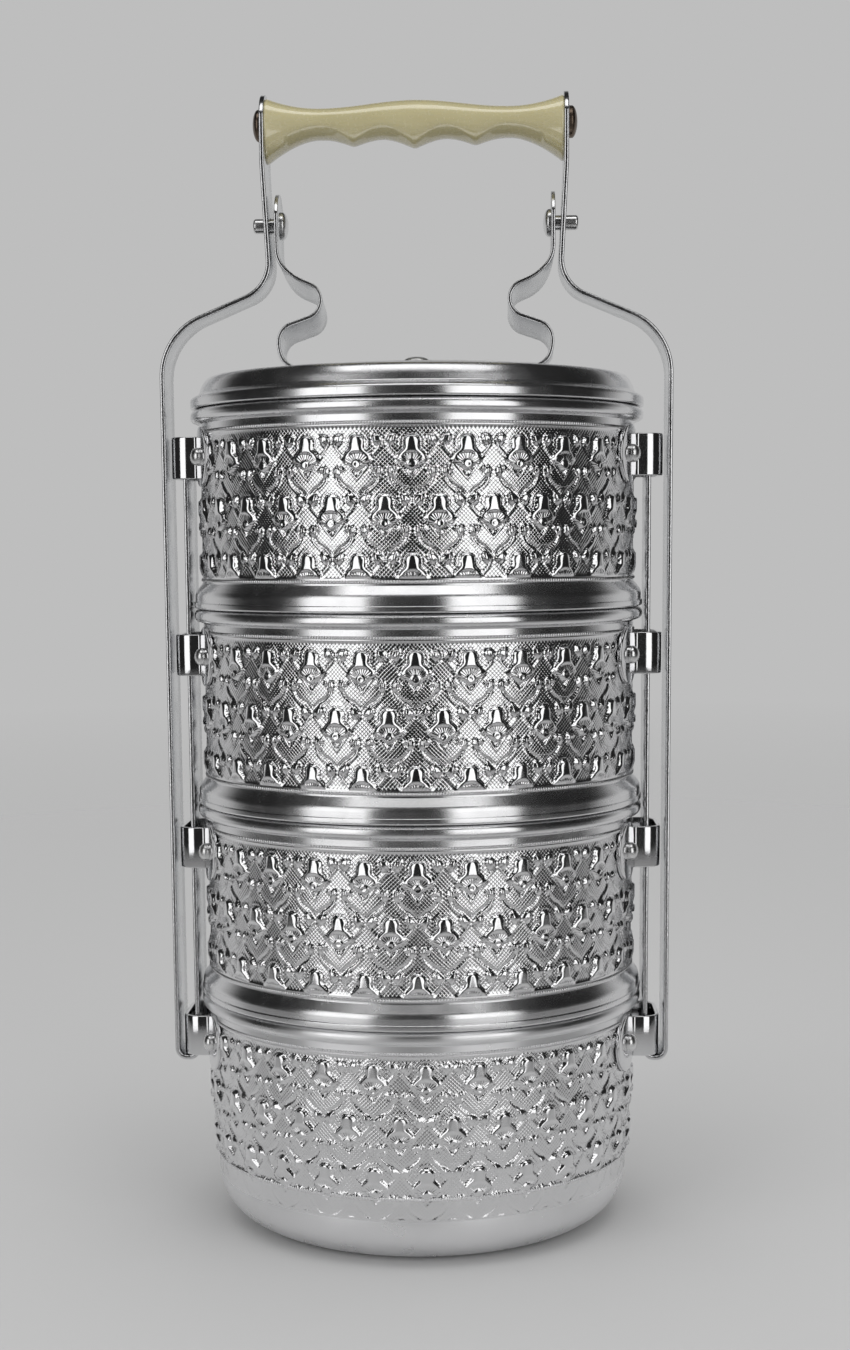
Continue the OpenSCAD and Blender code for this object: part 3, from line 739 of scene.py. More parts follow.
def upper_profile():
    """Profile of an upper bowl with its seam at 0, and a shallow recess that the embossed band fills."""
    floor = SHEET - PLUG_DEPTH
    start, end = UPPER_BAND
    return rounded([
        (0.0, -PLUG_DEPTH, 0.0),
        (PLUG_R, -PLUG_DEPTH, PLUG_ROUND),
        (PLUG_R, 0.0, CREASE),
        (BRIM_R, 0.0, BRIM_ROUND),
        (BRIM_R, BRIM_H, CREASE),
        (FLARE_R, BRIM_H + BRIM_STEP / 4, 0.0),
        (FLARE_R, FLARE_H * FLARE_SHARE, FLARE_ROUND),
        (BOWL_R, FLARE_H, CREASE),
        (BOWL_R, start, 0.0),
        (BOWL_R - RECESS, start, 0.0),
        (BOWL_R - RECESS, end, 0.0),
        (BOWL_R, end, 0.0),
        *rim_corners(TIER_PITCH - SEAT_GAP),
        (INNER_R, SHEET + INNER_STEP, INNER_STEP_ROUND),
        (PLUG_R - SHEET, SHEET / 2, INNER_STEP_ROUND),
        (PLUG_R - SHEET, floor, INNER_FOOT_ROUND),
        (0.0, floor, 0.0),
    ])


FOOT_R = BOWL_R - BASE_INSET
BOTTOM_WALL = rounded([(0.0, 0.0, 0.0), (FOOT_R, 0.0, BASE_ROUND), (BOWL_R, BASE_WALL_Z, BASE_WALL_ROUND),
                       (BOWL_R, SEAMS[0], 0.0)], turn=3.0)


def bottom_radius(z):
    wall = BOTTOM_WALL[2:]
    return np.interp(z, wall[:, 1], wall[:, 0])


def bottom_profile():
    """Profile of the lowest bowl: its drawn-in wall, the recess for the embossed band and its rim."""
    start, end = BOTTOM_BAND
    below = BOTTOM_WALL[BOTTOM_WALL[:, 1] < start]
    edge = [(bottom_radius(start), start)]
    sunk = [(bottom_radius(z) - RECESS, z) for z in np.linspace(start, end, 40)]
    above = rounded([
        (BOWL_R, end, 0.0),
        *rim_corners(SEAMS[0] - SEAT_GAP),
        (INNER_R, BASE_WALL_Z, BASE_WALL_ROUND - SHEET),
        (FOOT_R - SHEET, SHEET, BASE_ROUND - SHEET),
        (0.0, SHEET, 0.0),
    ])
    return np.concatenate([below, edge, sunk, above])


def clear_of_ears(angle, z, middle):
    """0 under the ears' flanges and 1 elsewhere, so that the pattern is pressed flat there."""
    share = np.ones(angle.shape)
    for side in (90.0, -90.0):
        for turn in (-RIVET_ANGLE, RIVET_ANGLE):
            off = angle - math.radians(side + turn)
            off = (off + math.pi) % (2 * math.pi) - math.pi
            reach = np.hypot(off * BOWL_R, z - middle) - FLANGE_R
            share = np.minimum(share, step(reach, *EAR_MARGIN))
    return share


def band_mesh(name, band, radius_at, knob_z, rows, row_pitch, phase, ear_height, fade):
    """The embossed wall between two heights, with a UV map in millimetres and what its material reads."""
    lines = int((band[1] - band[0]) / BAND_ROW_GAP) + 1
    z = np.linspace(band[0], band[1], lines)
    angle = np.linspace(-math.pi, math.pi, BAND_COLUMNS, endpoint=False)
    a, h = np.meshgrid(angle, z)
    up, ground, place = relief(a, knob_z - h, rows, row_pitch, math.radians(phase))
    edge = step(h - band[0], 0.0, BAND_EDGE) * step(band[1] - h, 0.0, BAND_EDGE)
    flat = clear_of_ears(a, h, ear_height)
    r = radius_at(h) + edge * ((flat * up - GROUND) * fade(h))
    points = np.stack([r * np.sin(a), -r * np.cos(a), h], -1).reshape(-1, 3)
    mesh = mesh_of(name, points, grid_faces(lines, BAND_COLUMNS), merge=False, sharp=NEVER_SHARP)
    bare = mesh.attributes.new("ground", "FLOAT", "POINT")
    bare.data.foreach_set("value", (ground * edge * fade(h)).astype(np.float32).ravel())
    place[..., 2] *= edge * fade(h) * flat
    in_motif = mesh.attributes.new("motif", "FLOAT_VECTOR", "POINT")
    in_motif.data.foreach_set("vector", place.astype(np.float32).ravel())
    corner = np.zeros(len(mesh.loops), np.int32)
    mesh.loops.foreach_get("vertex_index", corner)
    column, row = corner % BAND_COLUMNS, corner // BAND_COLUMNS
    first = np.repeat(column.reshape(-1, 4)[:, :1], 4, 1).ravel()
    column = np.where(column < first, column + BAND_COLUMNS, column)
    uv = np.stack([column * 2 * math.pi * BOWL_R / BAND_COLUMNS, z[row]], -1)
    mesh.uv_layers.new(name="wall_mm").data.foreach_set("uv", uv.astype(np.float32).ravel())
    return mesh


def milling_part(z, radius):
    """A milled line: a low half-round ring cut into fine teeth."""
    columns = MILL_TEETH * 4
    a = np.linspace(0, 2 * math.pi, columns, endpoint=False)
    across = np.linspace(-1, 1, MILL_ROWS)
    tooth = TOOTH_FLOOR + (1 - TOOTH_FLOOR) * np.abs(np.sin(a * MILL_TEETH / 2))
    r = radius - MILL_SINK + MILL_REACH * np.outer(np.sqrt(np.clip(1 - across**2, 0, 1)), tooth)
    h = np.repeat((z + MILL_HALF * across)[:, None], columns, 1)
    points = np.stack([r * np.cos(a), r * np.sin(a), h], -1).reshape(-1, 3)
    return points, grid_faces(MILL_ROWS, columns)


def milling_mesh(name, heights, radius_at):
    points, faces = joined([milling_part(z, float(radius_at(z))) for z in heights])
    return mesh_of(name, points, faces, merge=False, sharp=NEVER_SHARP)


def same_radius(z):
    return np.full(np.shape(z), BOWL_R)


def faint_below(z):
    """The lowest bowl's pattern runs out faintly under its milled line."""
    return FAINT + (1 - FAINT) * step(z, *FADE_Z)


upper_shell = turned_mesh("upper_bowl_shell", upper_profile())
upper_milling = milling_mesh("upper_bowl_milling", UPPER_MILLING, same_radius)
for tier, name in enumerate(TIERS):
    if tier == 0:
        body, slot, base = "carrier", "satin_bowl", 0.0
        metal, pressed = SATIN, EMBOSSED_SATIN
        shell = turned_mesh("bottom_bowl_shell", bottom_profile())
        band = band_mesh("bottom_bowl_emboss", BOTTOM_BAND, bottom_radius, BOTTOM_KNOB, BOTTOM_ROWS,
                         BOTTOM_ROW_PITCH, PHASES[name], ear_z(0), faint_below)
        milling = milling_mesh("bottom_bowl_milling", BOTTOM_MILLING, bottom_radius)
    else:
        body, slot, base = f"{name}_tier", "polished_bowl", SEAMS[tier - 1]
        metal, pressed = POLISHED, EMBOSSED
        shell, milling = upper_shell, upper_milling
        band = band_mesh(f"{name}_bowl_emboss", UPPER_BAND, same_radius, UPPER_KNOB, UPPER_ROWS,
                         UPPER_ROW_PITCH, PHASES[name], TIER_PITCH - EAR_DROP, np.ones_like)
    piece(f"{name}_bowl_shell", shell, metal, body, slot, f"{name}_bowl", base)
    piece(f"{name}_bowl_emboss", band, pressed, body, slot, height=base)
    piece(f"{name}_bowl_milling", milling, metal, body, slot, height=base)


# Lid
def crown_at(r):
    return CROWN_Z - CROWN_BALL_R + np.sqrt(CROWN_BALL_R**2 - np.asarray(r) ** 2)


def lid_profile():
    """Profile of the lid with its seam at 0: collar, rolled edge, leaning wall, shoulder and domed crown."""
    crown_r = LID_SHOULDER_R - LID_SHOULDER_ROUND
    crown = [(r, float(crown_at(r)) - TOP_SEAM) for r in np.linspace(crown_r, 0.0, DOME_POINTS)]
    wall_r, wall_z = BRIM_R - LID_STEP, LID_BRIM_H + LID_STEP_RISE
    tilt = math.atan2(wall_r - LID_SHOULDER_R, LID_SHOULDER_H - wall_z)
    inner_shoulder_r = LID_SHOULDER_R + SHEET * (math.tan(tilt) - 1 / math.cos(tilt))
    outer = rounded([
        (PLUG_R - SHEET, -PLUG_DEPTH, 0.0),
        (PLUG_R, -PLUG_DEPTH, CREASE),
        (PLUG_R, 0.0, CREASE),
        (BRIM_R, 0.0, BRIM_ROUND),
        (BRIM_R, LID_BRIM_H, LID_EDGE_ROUND),
        (wall_r, wall_z, LID_STEP_ROUND),
        (wall_r + WALL_BULGE - 0.5 * (wall_r - LID_SHOULDER_R), (wall_z + LID_SHOULDER_H) / 2, WALL_ROUND),
        (LID_SHOULDER_R, LID_SHOULDER_H, LID_SHOULDER_ROUND),
        (*crown[0], 0.0),
    ])
    inner = rounded([
        (crown[0][0], crown[0][1] - SHEET, 0.0),
        (inner_shoulder_r, LID_SHOULDER_H - SHEET, LID_SHOULDER_ROUND - SHEET),
        (wall_r - SHEET * math.cos(tilt), wall_z - SHEET * math.sin(tilt), CREASE),
        (PLUG_R - SHEET, SHEET, CREASE),
        (PLUG_R - SHEET, -PLUG_DEPTH, 0.0),
    ])
    under = [(r, z - SHEET) for r, z in crown[::-1]]
    return np.concatenate([outer, crown[1:], under[:-1], inner])


lid_shell = turned_mesh("lid_shell", lid_profile(), LID_COLUMNS)
piece("lid_shell", lid_shell, POLISHED, "lid_unit", "polished_bowl", "lid", TOP_SEAM)


# Ears and their rivets
def ear_parts(sign, middle):
    """The bent loop and the two round flanges of one ear."""
    mid_r = BOWL_R + EAR_SEAT + EAR_T / 2
    across = STRAP_W / 2 + PRONG_SIDE_PLAY + EAR_T / 2
    root_x = math.sqrt(mid_r**2 - across**2)
    start = math.radians(RIVET_ANGLE - EAR_END_SHORT)
    end_x, end_y = mid_r * math.cos(start), mid_r * math.sin(start)
    line = rounded([(end_x, -end_y, 0), (root_x, -across, EAR_ROOT_ROUND), (EAR_X, -across, EAR_BEND),
                    (EAR_X, across, EAR_BEND), (root_x, across, EAR_ROOT_ROUND), (end_x, end_y, 0)])
    half = np.full(len(line), EAR_H / 2)
    loop = strip_part(line, half, EAR_T, EAR_EDGE,
                      lambda p: np.stack([sign * p[:, 0], p[:, 1], middle + p[:, 2]], -1))
    return [loop] + [flange_part(sign, turn, middle) for turn in (-1, 1)]


def flange_part(sign, turn, middle):
    """A round flange that hugs the wall, with a rounded edge."""
    quarter = np.linspace(0, math.pi / 2, 5)
    edge = FLANGE_EDGE
    profile = [(FLANGE_R * k / 6, EAR_T) for k in range(6)]
    profile += [(FLANGE_R - edge + edge * math.sin(q), EAR_T - edge + edge * math.cos(q)) for q in quarter]
    profile += [(FLANGE_R, 0.0)]

    def onto_wall(p):
        bend = math.radians(turn * RIVET_ANGLE) + p[:, 0] / BOWL_R
        r = BOWL_R + EAR_SEAT + p[:, 2]
        return np.stack([sign * r * np.cos(bend), r * np.sin(bend), middle + p[:, 1]], -1)

    return turned_part(profile, FLANGE_SIDES, onto_wall)


def radial(angle, start, middle):
    """A place that lays Z along a radius of the bowl."""
    c, s = math.cos(angle), math.sin(angle)
    return lambda p: np.stack([
        (start + p[:, 2]) * c - p[:, 0] * s, (start + p[:, 2]) * s + p[:, 0] * c, middle + p[:, 1]], -1)


def rivet_parts(middle):
    """Four round rivet heads outside the flanges, with their flat tails inside the bowl."""
    out = BOWL_R + EAR_SEAT + EAR_T
    inner = math.sqrt(INNER_R**2 - RIVET_HEAD_R**2)
    head = dome_profile(RIVET_HEAD_R, RIVET_HEAD_R, RIVET_HEAD_R / 5, RIVET_EDGE)
    tail = [(0.0, -RIVET_TAIL_H), (RIVET_HEAD_R - RIVET_EDGE, -RIVET_TAIL_H),
            (RIVET_HEAD_R, RIVET_EDGE - RIVET_TAIL_H), (RIVET_HEAD_R, 0.0)]
    for side in (0, 180):
        for turn in (-RIVET_ANGLE, RIVET_ANGLE):
            angle = math.radians(side + turn)
            yield turned_part(head, RIVET_SIDES, radial(angle, out, middle))
            yield turned_part(tail, RIVET_SIDES, radial(angle, inner, middle))


for tier, name in enumerate(TIERS):
    body = "carrier" if tier == 0 else f"{name}_tier"
    for side, sign in SIDES.items():
        ear = f"{name}_bowl_{side}_ear"
        loop = mesh_of(ear, *joined(ear_parts(sign, ear_z(tier))))
        piece(f"{ear}_loop", loop, EAR_METAL, body, "ear_strip", ear)
    rivets = f"{name}_bowl_rivets"
    heads = mesh_of(rivets, *joined(rivet_parts(ear_z(tier))))
    piece(f"{name}_bowl_rivet_heads", heads, RIVET_METAL, body, "rivet_metal", rivets)


# Frame straps, spring clip and studs
KNEE_RISE = 38.0
NECK_LEAN = 1.9
NECK_BEND_DROP = 13.0
NECK_ROUND = 30.0
SHOULDER_SLOPE = 22.6
KNEE_ROUND = 11.5
SHOULDER_ROUND = 20.0
HAIRPIN_SHARE = 0.9
HAIRPIN_Z = low("right_frame_strap").z + STRAP_T / 2
PRONG_TOP = ear_z(3) + EAR_H / 2
STRIP_GAP = 1.2
EDGE_FACING = 0.6
TIP_REACH = 14.0
TIP_POINTS = 22
TIP_CLEAR = 0.3
TIP_LEAST = 0.02
STRAP_EDGE = 0.45
ARM_EDGE = 0.35
CLIP_EDGE = 0.25
STUD_SIDES = 40
PIN_HOLE_R = 2.6
DRILL_REACH = 5.0


def round_tipped(line, tip):
    """A strip's line with closer points at its top, and half widths that end there in an arc."""
    drops = TIP_REACH * (1 - np.cos(np.linspace(0, math.pi / 2, TIP_POINTS)))
    fine = np.stack([np.full(TIP_POINTS, line[0][0]), tip - drops], -1)
    line = np.concatenate([fine, line[line[:, 1] < tip - TIP_REACH - TIP_CLEAR]])
    end_r = END_ROUNDNESS * STRAP_W
    rise = np.clip(line[:, 1] - (tip - end_r), 0, end_r)
    return line, np.minimum(STRAP_W / 2, np.sqrt(np.clip(end_r**2 - rise**2, TIP_LEAST, None)))


def with_edges(mesh, face_metal):
    """Gives the front and back edges of a strip the look of a sheared cut."""
    mesh.materials.append(face_metal)
    mesh.materials.append(SHEARED)
    for face in mesh.polygons:
        face.material_index = int(abs(face.normal.y) > EDGE_FACING)
    return mesh


def strap_line():
    """Middle line of a frame strap: grip, neck, shoulder, side, hairpin and inner prong."""
    knee_z = TOP_SEAM + KNEE_RISE
    knee_x = NECK_X - NECK_LEAN
    shoulder_z = knee_z - (STRAP_X - knee_x) * math.tan(math.radians(SHOULDER_SLOPE))
    bend = HAIRPIN_SHARE * (STRAP_X - PRONG_X) / 2
    line = rounded([
        (NECK_X, STRAP_TOP, 0),
        (NECK_X, ROD_Z - NECK_BEND_DROP, NECK_ROUND),
        (knee_x, knee_z, KNEE_ROUND),
        (STRAP_X, shoulder_z, SHOULDER_ROUND),
        (STRAP_X, HAIRPIN_Z, bend),
        (PRONG_X, HAIRPIN_Z, bend),
        (PRONG_X, PRONG_TOP, 0),
    ], turn=4.0)
    return dense(line, STRIP_GAP)


def pierced(name, strap, sign):
    """The strap with the round hole that a stud's pin locks into."""
    start = (sign * (NECK_X - DRILL_REACH), 0, STUD_Z)
    bore = [(0.0, 0.0), (PIN_HOLE_R, 0.0), (PIN_HOLE_R, 2 * DRILL_REACH), (0.0, 2 * DRILL_REACH)]
    drill = new_object("drill", mesh_of("drill", *turned_part(bore, STUD_SIDES, along_x(start, sign))))
    blank = new_object("blank", strap)
    cut = blank.modifiers.new("hole", "BOOLEAN")
    cut.operation = "DIFFERENCE"
    cut.solver = "EXACT"
    cut.object = drill
    mesh = bpy.data.meshes.new_from_object(blank.evaluated_get(bpy.context.evaluated_depsgraph_get()))
    mesh.name = name
    mesh.set_sharp_from_angle(angle=math.radians(SHARP_ANGLE))
    for obj in (blank, drill):
        bpy.data.objects.remove(obj)
    return mesh


def strap_mesh(name, sign):
    line, widths = round_tipped(strap_line(), STRAP_TOP)
    strap = mesh_of(name, *strip_part(line, widths, STRAP_T, STRAP_EDGE, upright(sign)))
    return pierced(name, with_edges(strap, STRAP_METAL), sign)


ARM_GAP = 2.75
ARM_X = NECK_X - STRAP_T / 2 - ARM_GAP - SPRING_T / 2
CLIP_HALF_L = 36.0
ROOT_X = CLIP_HALF_L + FACE_GAP + SPRING_T / 2
ROOT_Z = float(crown_at(ROOT_X)) + FACE_GAP + SPRING_T / 2
ARM_TIP = high("left_spring_arm").z
BEND_REACH = 23.6
BENDS_START = (ROOT_Z + 1.0, ROOT_Z + 8.0)
BENDS_END = (ROOT_Z + 25.0, ROOT_Z + 37.0)
BEND_TILT = 0.18
LOWER_BEND_OUT = 9.2
LOWER_BEND_RISE = 6.4
LOWER_BEND_ROUND = 6.0
INNER_BEND_RISE = 11.2
INNER_BEND_ROUND = 5.5
UPPER_BEND_RISE = 21.2
UPPER_BEND_ROUND = 13.0
ROOT_RUN = 2.0
ROOT_ROUND = 2.5


def arm_line():
    """Middle line of a spring arm from its tip down to its root: in, out and in again."""
    lower_z = ROOT_Z + SPRING_T / 2 + LOWER_BEND_RISE
    line = rounded([
        (ARM_X, ARM_TIP, 0),
        (ARM_X, lower_z + UPPER_BEND_RISE, UPPER_BEND_ROUND),
        (ARM_X - BEND_REACH, lower_z + INNER_BEND_RISE, INNER_BEND_ROUND),
        (ARM_X + LOWER_BEND_OUT, lower_z, LOWER_BEND_ROUND),
        (ROOT_X + ROOT_RUN, ROOT_Z, ROOT_ROUND),
        (ROOT_X, ROOT_Z, 0),
    ], turn=4.0)
    return dense(line, STRIP_GAP)


def arm_mesh(name, sign):
    line, widths = round_tipped(arm_line(), ARM_TIP)
    points, faces = strip_part(line, widths, SPRING_T, ARM_EDGE, upright(sign))
    bends = step(points[:, 2], *BENDS_START) * (1 - step(points[:, 2], *BENDS_END))
    points[:, 2] -= BEND_TILT * bends * points[:, 1]
    return with_edges(mesh_of(name, points, faces), SPRING_METAL)


def clip_mesh():
    x = np.linspace(-CLIP_HALF_L, CLIP_HALF_L, 49)
    line = np.stack([x, crown_at(np.abs(x)) + FACE_GAP + SPRING_T / 2], -1)
    widths = np.full(len(x), STRAP_W / 2)
    return mesh_of("clip_strip", *strip_part(line, widths, SPRING_T, CLIP_EDGE, upright(1)))


STUD_HEAD_R = 4.3
STUD_HEAD_H = 2.4
PIN_R = 2.3
PIN_REACH = 3.2
PIN_TIP_ROUND = 0.9
STUD_COLLAR = 0.6
HEAD_EDGE = 0.4
HEAD_SIDES = 48


def stud_parts(sign):
    """Domed head inside the arm, and the pin that runs out through the strap."""
    inside_x = sign * (ARM_X - SPRING_T / 2 - FACE_GAP)
    head = dome_profile(STUD_HEAD_R, STUD_HEAD_H, STUD_COLLAR, HEAD_EDGE)
    yield turned_part(head, STUD_SIDES, along_x((inside_x, 0, STUD_Z), -sign))
    length = NECK_X + STRAP_T / 2 + PIN_REACH - (ARM_X + SPRING_T / 2)
    pin = rounded([(0.0, 0.0, 0), (PIN_R, 0.0, 0), (PIN_R, length, PIN_TIP_ROUND), (0.0, length, 0)])
    yield turned_part(pin, STUD_SIDES, along_x((sign * (ARM_X + SPRING_T / 2), 0, STUD_Z), sign))


for side, sign in SIDES.items():
    piece(f"{side}_strap", strap_mesh(f"{side}_strap", sign), STRAP_METAL, "carrier", "frame_strap",
          f"{side}_frame_strap")
    piece(f"{side}_spring", arm_mesh(f"{side}_spring", sign), SPRING_METAL, f"{side}_arm", "spring_strip",
          f"{side}_spring_arm")
    piece(f"{side}_stud_pin", mesh_of(f"{side}_stud_pin", *joined(stud_parts(sign))), RIVET_METAL,
          f"{side}_arm", "rivet_metal", f"{side}_stud")
piece("clip_strip", clip_mesh(), SPRING_METAL, "lid_unit", "spring_strip", "clip_base")

CLIP_RIVET_R = 4.2
CLIP_RIVET_H = 1.9
clip_dome = dome_profile(CLIP_RIVET_R, CLIP_RIVET_H, CLIP_RIVET_H / 5, HEAD_EDGE)
clip_rivet = turned_mesh("clip_rivet_head", clip_dome, HEAD_SIDES)
piece("clip_rivet_head", clip_rivet, RIVET_METAL, "lid_unit", "rivet_metal", "clip_rivet",
      CROWN_Z + 2 * FACE_GAP + SPRING_T)


# Grip and its rod
FINGER_PITCH = 19.2
FINGER_DEPTH = 2.3
GRIP_TOP = 7.1
GRIP_WAIST = 4.8
GRIP_BELLY = 6.9
GRIP_END_RISE = 3.3
GRIP_END_DROP = 7.6
GRIP_MIDDLE_DROP = 0.8
FLARE_POWER = 1.7
SCOOP_H = 3.2
SCOOP_CUT = 0.28
GRIP_HALF_DEPTH = 7.8
GRIP_END_FLARE = 2.0
FLARE_FINGERS = 0.85
WAIST_FINGERS = 1.55
GRIP_FULLNESS = 0.85
GRIP_RINGS = 160
GRIP_SIDES = 64
GRIP_SHARP_ANGLE = 60.0
NO_SCOOP = 100.0
END_EDGE = 0.8
END_SOFTNESS = 0.75
RING_CROWDING = 0.97
POINT_ROUND = 0.012
END_SCOOP = 0.4
LAST_HOLLOW = 1.5


def grip_mesh():
    """The moulded grip as rings of points from end to end, with softly rounded ends."""
    half = GRIP_L / 2
    crowding = math.pi / 2 * RING_CROWDING
    x = half * np.sin(np.linspace(-1, 1, GRIP_RINGS) * crowding) / math.sin(crowding)
    start = half - FLARE_FINGERS * FINGER_PITCH
    flare = (np.clip(np.abs(x) - start, 0, None) / (half - start)) ** FLARE_POWER
    waist_x = WAIST_FINGERS * FINGER_PITCH
    upper = (GRIP_TOP + GRIP_WAIST) / 2
    upper = upper + (GRIP_TOP - GRIP_WAIST) / 2 * np.cos(math.pi * np.clip(np.abs(x) / waist_x, 0, 1))
    upper = upper + GRIP_END_RISE * (np.clip(np.abs(x) - waist_x, 0, None) / (half - waist_x)) ** 2
    hollow = np.clip(np.abs(x), 0, LAST_HOLLOW * FINGER_PITCH) / FINGER_PITCH
    point = np.sqrt(np.sin(math.pi * hollow) ** 2 + POINT_ROUND)
    middle = GRIP_MIDDLE_DROP * np.clip(1 - 2 * np.abs(x) / FINGER_PITCH, 0, None)
    lower = GRIP_BELLY - FINGER_DEPTH * point + middle + GRIP_END_DROP * flare
    depth = GRIP_HALF_DEPTH + GRIP_END_FLARE * flare
    soft = END_EDGE * (1 - np.sqrt(1 - step(np.abs(x), half - END_EDGE, half) ** 2 * END_SOFTNESS))
    a = np.linspace(0, 2 * math.pi, GRIP_SIDES, endpoint=False)
    c = np.sign(np.cos(a)) * np.abs(np.cos(a)) ** GRIP_FULLNESS
    s = np.sign(np.sin(a)) * np.abs(np.sin(a)) ** GRIP_FULLNESS
    reach = np.where(np.sin(a)[None, :] > 0, upper[:, None], lower[:, None]) - soft[:, None]
    above = np.where(np.sin(a)[None, :] > 0, NO_SCOOP, lower[:, None] * (1 - np.abs(s)))
    scoop = np.where(np.abs(x) < start + FINGER_PITCH / 2, point, END_SCOOP)[:, None] * SCOOP_H
    across = np.outer(depth - soft, c) * (1 - SCOOP_CUT * np.clip(1 - above / scoop, 0, 1))
    points = np.stack([np.repeat(x[:, None], GRIP_SIDES, 1), across, ROD_Z + reach * s], -1)
    faces = capped_faces(GRIP_RINGS, GRIP_SIDES)
    return mesh_of("grip", points.reshape(-1, 3), faces, sharp=GRIP_SHARP_ANGLE)


piece("grip", grip_mesh(), IVORY, "carrier", "grip_plastic", "handle_grip")

ROD_HEAD_R = 4.9
ROD_HEAD_H = 2.8
ROD_COLLAR = 1.0
rod_dome = dome_profile(ROD_HEAD_R, ROD_HEAD_H, ROD_COLLAR, HEAD_EDGE)
rod_x = NECK_X + STRAP_T / 2 + FACE_GAP
rod_heads = [turned_part(rod_dome, HEAD_SIDES, along_x((sign * rod_x, 0, ROD_Z), sign))
             for sign in SIDES.values()]
piece("rod_heads", mesh_of("rod_heads", *joined(rod_heads)), ROD_METAL, "carrier", "rod_steel", "handle_rod")


# Floor, backdrop, lights and camera
BACKDROP = grey(0.515)
FLOOR = grey(0.60)
FLOOR_R = 2.4
FLOOR_SIDES = 95
FLOOR_DROP = 0.05
FLOOR_ROUGHNESS = 0.75
FLOOR_NOISE = 3.0
FLOOR_SHADE = 0.985
FADE_START = 0.1
FADE_END = 1.15
FADE_FROM = 0.7
FADE_LEAN = 0.5
AMBIENT = 0.5
ROOM_R = 1.7
ROOM_LEVEL = 0.015
ROOM_OVERHEAD = 0.6
ROOM_EDGE = (-0.4, -0.1)


def floor():
    """A pale disc that keeps the shadow and fades into the backdrop."""
    turns = np.linspace(0, 2 * math.pi, FLOOR_SIDES, endpoint=False)
    reach = FLOOR_R / MM
    points = [(reach * math.cos(a), reach * math.sin(a), -FLOOR_DROP) for a in turns]
    mesh = mesh_of("floor", points, [list(range(FLOOR_SIDES))], merge=False)
    made, tree, shader = material("pale_floor", 0.0, FLOOR_ROUGHNESS, FLOOR)
    calc = partial(math_node, tree)
    place = object_place(tree)
    length = fed(tree, "ShaderNodeVectorMath", "Value", {0: place}, operation="LENGTH")
    y = separated(tree, place)[1]
    away = calc("SUBTRACT", length, calc("MULTIPLY", y, FADE_LEAN))
    nearness = calc("DIVIDE", 1.0, calc("ADD", away, FADE_FROM))
    fade = ranged(tree, nearness, 1 / (FADE_FROM + FADE_END), 1 / (FADE_FROM + FADE_START), 1.0, 0.0)
    tinted(tree, shader, noise(tree, place, FLOOR_NOISE), tuple(c * FLOOR_SHADE for c in FLOOR), FLOOR)
    mixed(tree, fade, shader, add(tree, "ShaderNodeBsdfTransparent"), "Material Output")
    mesh.materials.append(made)
    new_object("floor", mesh)


def backdrop():
    """A pale world for the camera and for reflections, and a plain ambient level for everything else."""
    world = bpy.data.worlds.new("studio")
    bpy.context.scene.world = world
    world.use_nodes = True
    tree = world.node_tree
    seen = add(tree, "ShaderNodeBackground", Color=(*BACKDROP, 1), Strength=1.0)
    ambient = add(tree, "ShaderNodeBackground", Color=(*grey(1.0), 1), Strength=AMBIENT)
    path = add(tree, "ShaderNodeLightPath")
    both = math_node(tree, "MAXIMUM", path.outputs["Is Camera Ray"], path.outputs["Is Glossy Ray"])
    shown = math_node(tree, "MAXIMUM", both, path.outputs["Is Transmission Ray"])
    mixed(tree, shown, ambient, seen, "World Output")


def softbox(name, azimuth, height, distance, size, power, aim, reflected):
    """A lamp at an angle from the camera's side, turning towards +X, aimed at a height on the axis."""
    a = math.radians(azimuth)
    lamp = bpy.data.lights.new(name, "AREA")
    lamp.shape = "RECTANGLE"
    lamp.size, lamp.size_y = size
    lamp.energy = power
    obj = new_object(name, lamp)
    obj.location = (math.sin(a) * distance, -math.cos(a) * distance, height)
    obj.rotation_euler = (Vector((0, 0, aim)) - obj.location).to_track_quat("-Z", "Y").to_euler()
    obj.visible_glossy = reflected


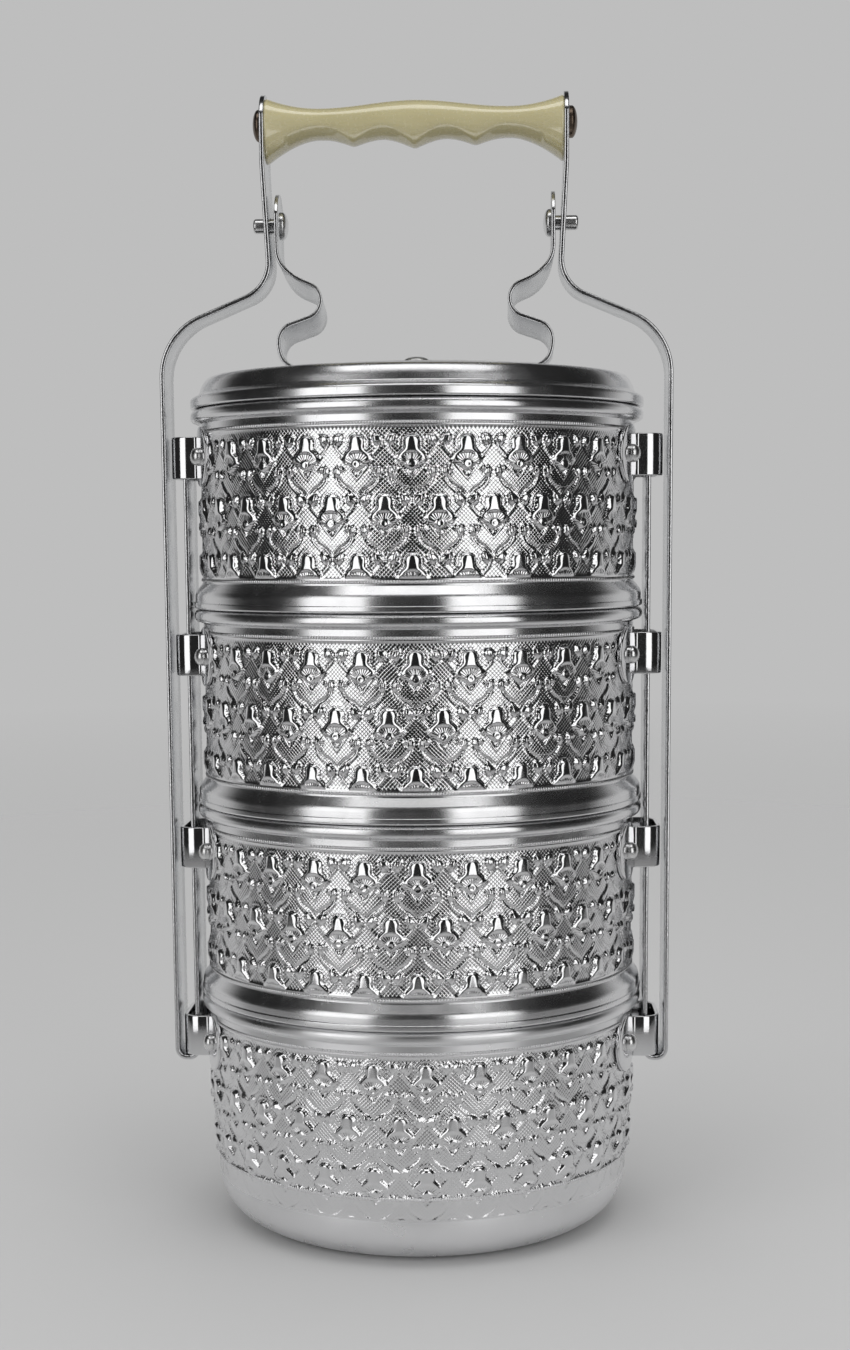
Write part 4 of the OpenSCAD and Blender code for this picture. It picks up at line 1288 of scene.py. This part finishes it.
def dark_room():
    """A dim room that shows only in reflections: in front and overhead, open to the pale backdrop behind."""
    e = np.linspace(-math.pi / 2, math.pi / 2, 25)
    mesh = turned_mesh("dark_room", np.stack([np.cos(e), np.sin(e)], -1) * ROOM_R / MM, 48)
    made, tree, shader = material("dark_room", 0.0, 1.0, grey(0.0))
    tree.nodes.remove(shader)
    _, y, z = separated(tree, object_place(tree))
    above = math_node(tree, "MULTIPLY", math_node(tree, "MAXIMUM", z, 0.0), ROOM_OVERHEAD)
    ahead = math_node(tree, "SUBTRACT", above, y)
    share = ranged(tree, ahead, ROOM_EDGE[0] * ROOM_R, ROOM_EDGE[1] * ROOM_R, 0.0, 1.0)
    dim = add(tree, "ShaderNodeEmission", Color=(*grey(ROOM_LEVEL), 1), Strength=1.0)
    mixed(tree, share, add(tree, "ShaderNodeBsdfTransparent"), dim, "Material Output")
    mesh.materials.append(made)
    obj = new_object("dark_room", mesh)
    obj.visible_camera = obj.visible_diffuse = obj.visible_shadow = False


# Lamps: azimuth in degrees, height and distance in metres, size, power, height aimed at, seen in reflections
LAMPS = (
    ("left_softbox", -40, 0.5, 1.25, (0.78, 1.3), 4.0, 0.5, True),
    ("right_softbox", 34, 0.5, 1.25, (0.78, 1.3), 4.0, 0.5, True),
    ("overhead", 0, 1.5, 0.36, (1.5, 0.62), 4.6, 0.2, True),
    ("front_fill", 0, 0.12, 1.2, (1.0, 0.2), 1.4, 0.35, False),
    ("top_fill", 160, 1.6, 0.25, (1.2, 1.2), 5.8, 0.2, False),
)
floor()
backdrop()
for lamp in LAMPS:
    softbox(*lamp)
dark_room()

CAMERA_AT = (2.29, -691.9, 221.4)
CAMERA_YAW = 2.0
CAMERA_PITCH = 7.78
CAMERA_ROLL = 0.42
FOCAL_PX = 2122.0
IMAGE_H = 1350.0
AXIS_BELOW_MIDDLE = 155.0
SENSOR = 36.0


def camera():
    data = bpy.data.cameras.new("camera")
    data.sensor_width = SENSOR
    data.lens = FOCAL_PX * SENSOR / IMAGE_H
    data.shift_y = AXIS_BELOW_MIDDLE / IMAGE_H
    obj = new_object("camera", data)
    yaw = math.radians(CAMERA_YAW)
    obj.location = Matrix.Rotation(yaw, 3, "Z") @ (Vector(CAMERA_AT) * MM)
    obj.rotation_euler = (math.radians(90 - CAMERA_PITCH), math.radians(CAMERA_ROLL), yaw)
    bpy.context.scene.camera = obj


camera()
bpy.context.scene.view_settings.view_transform = "Standard"
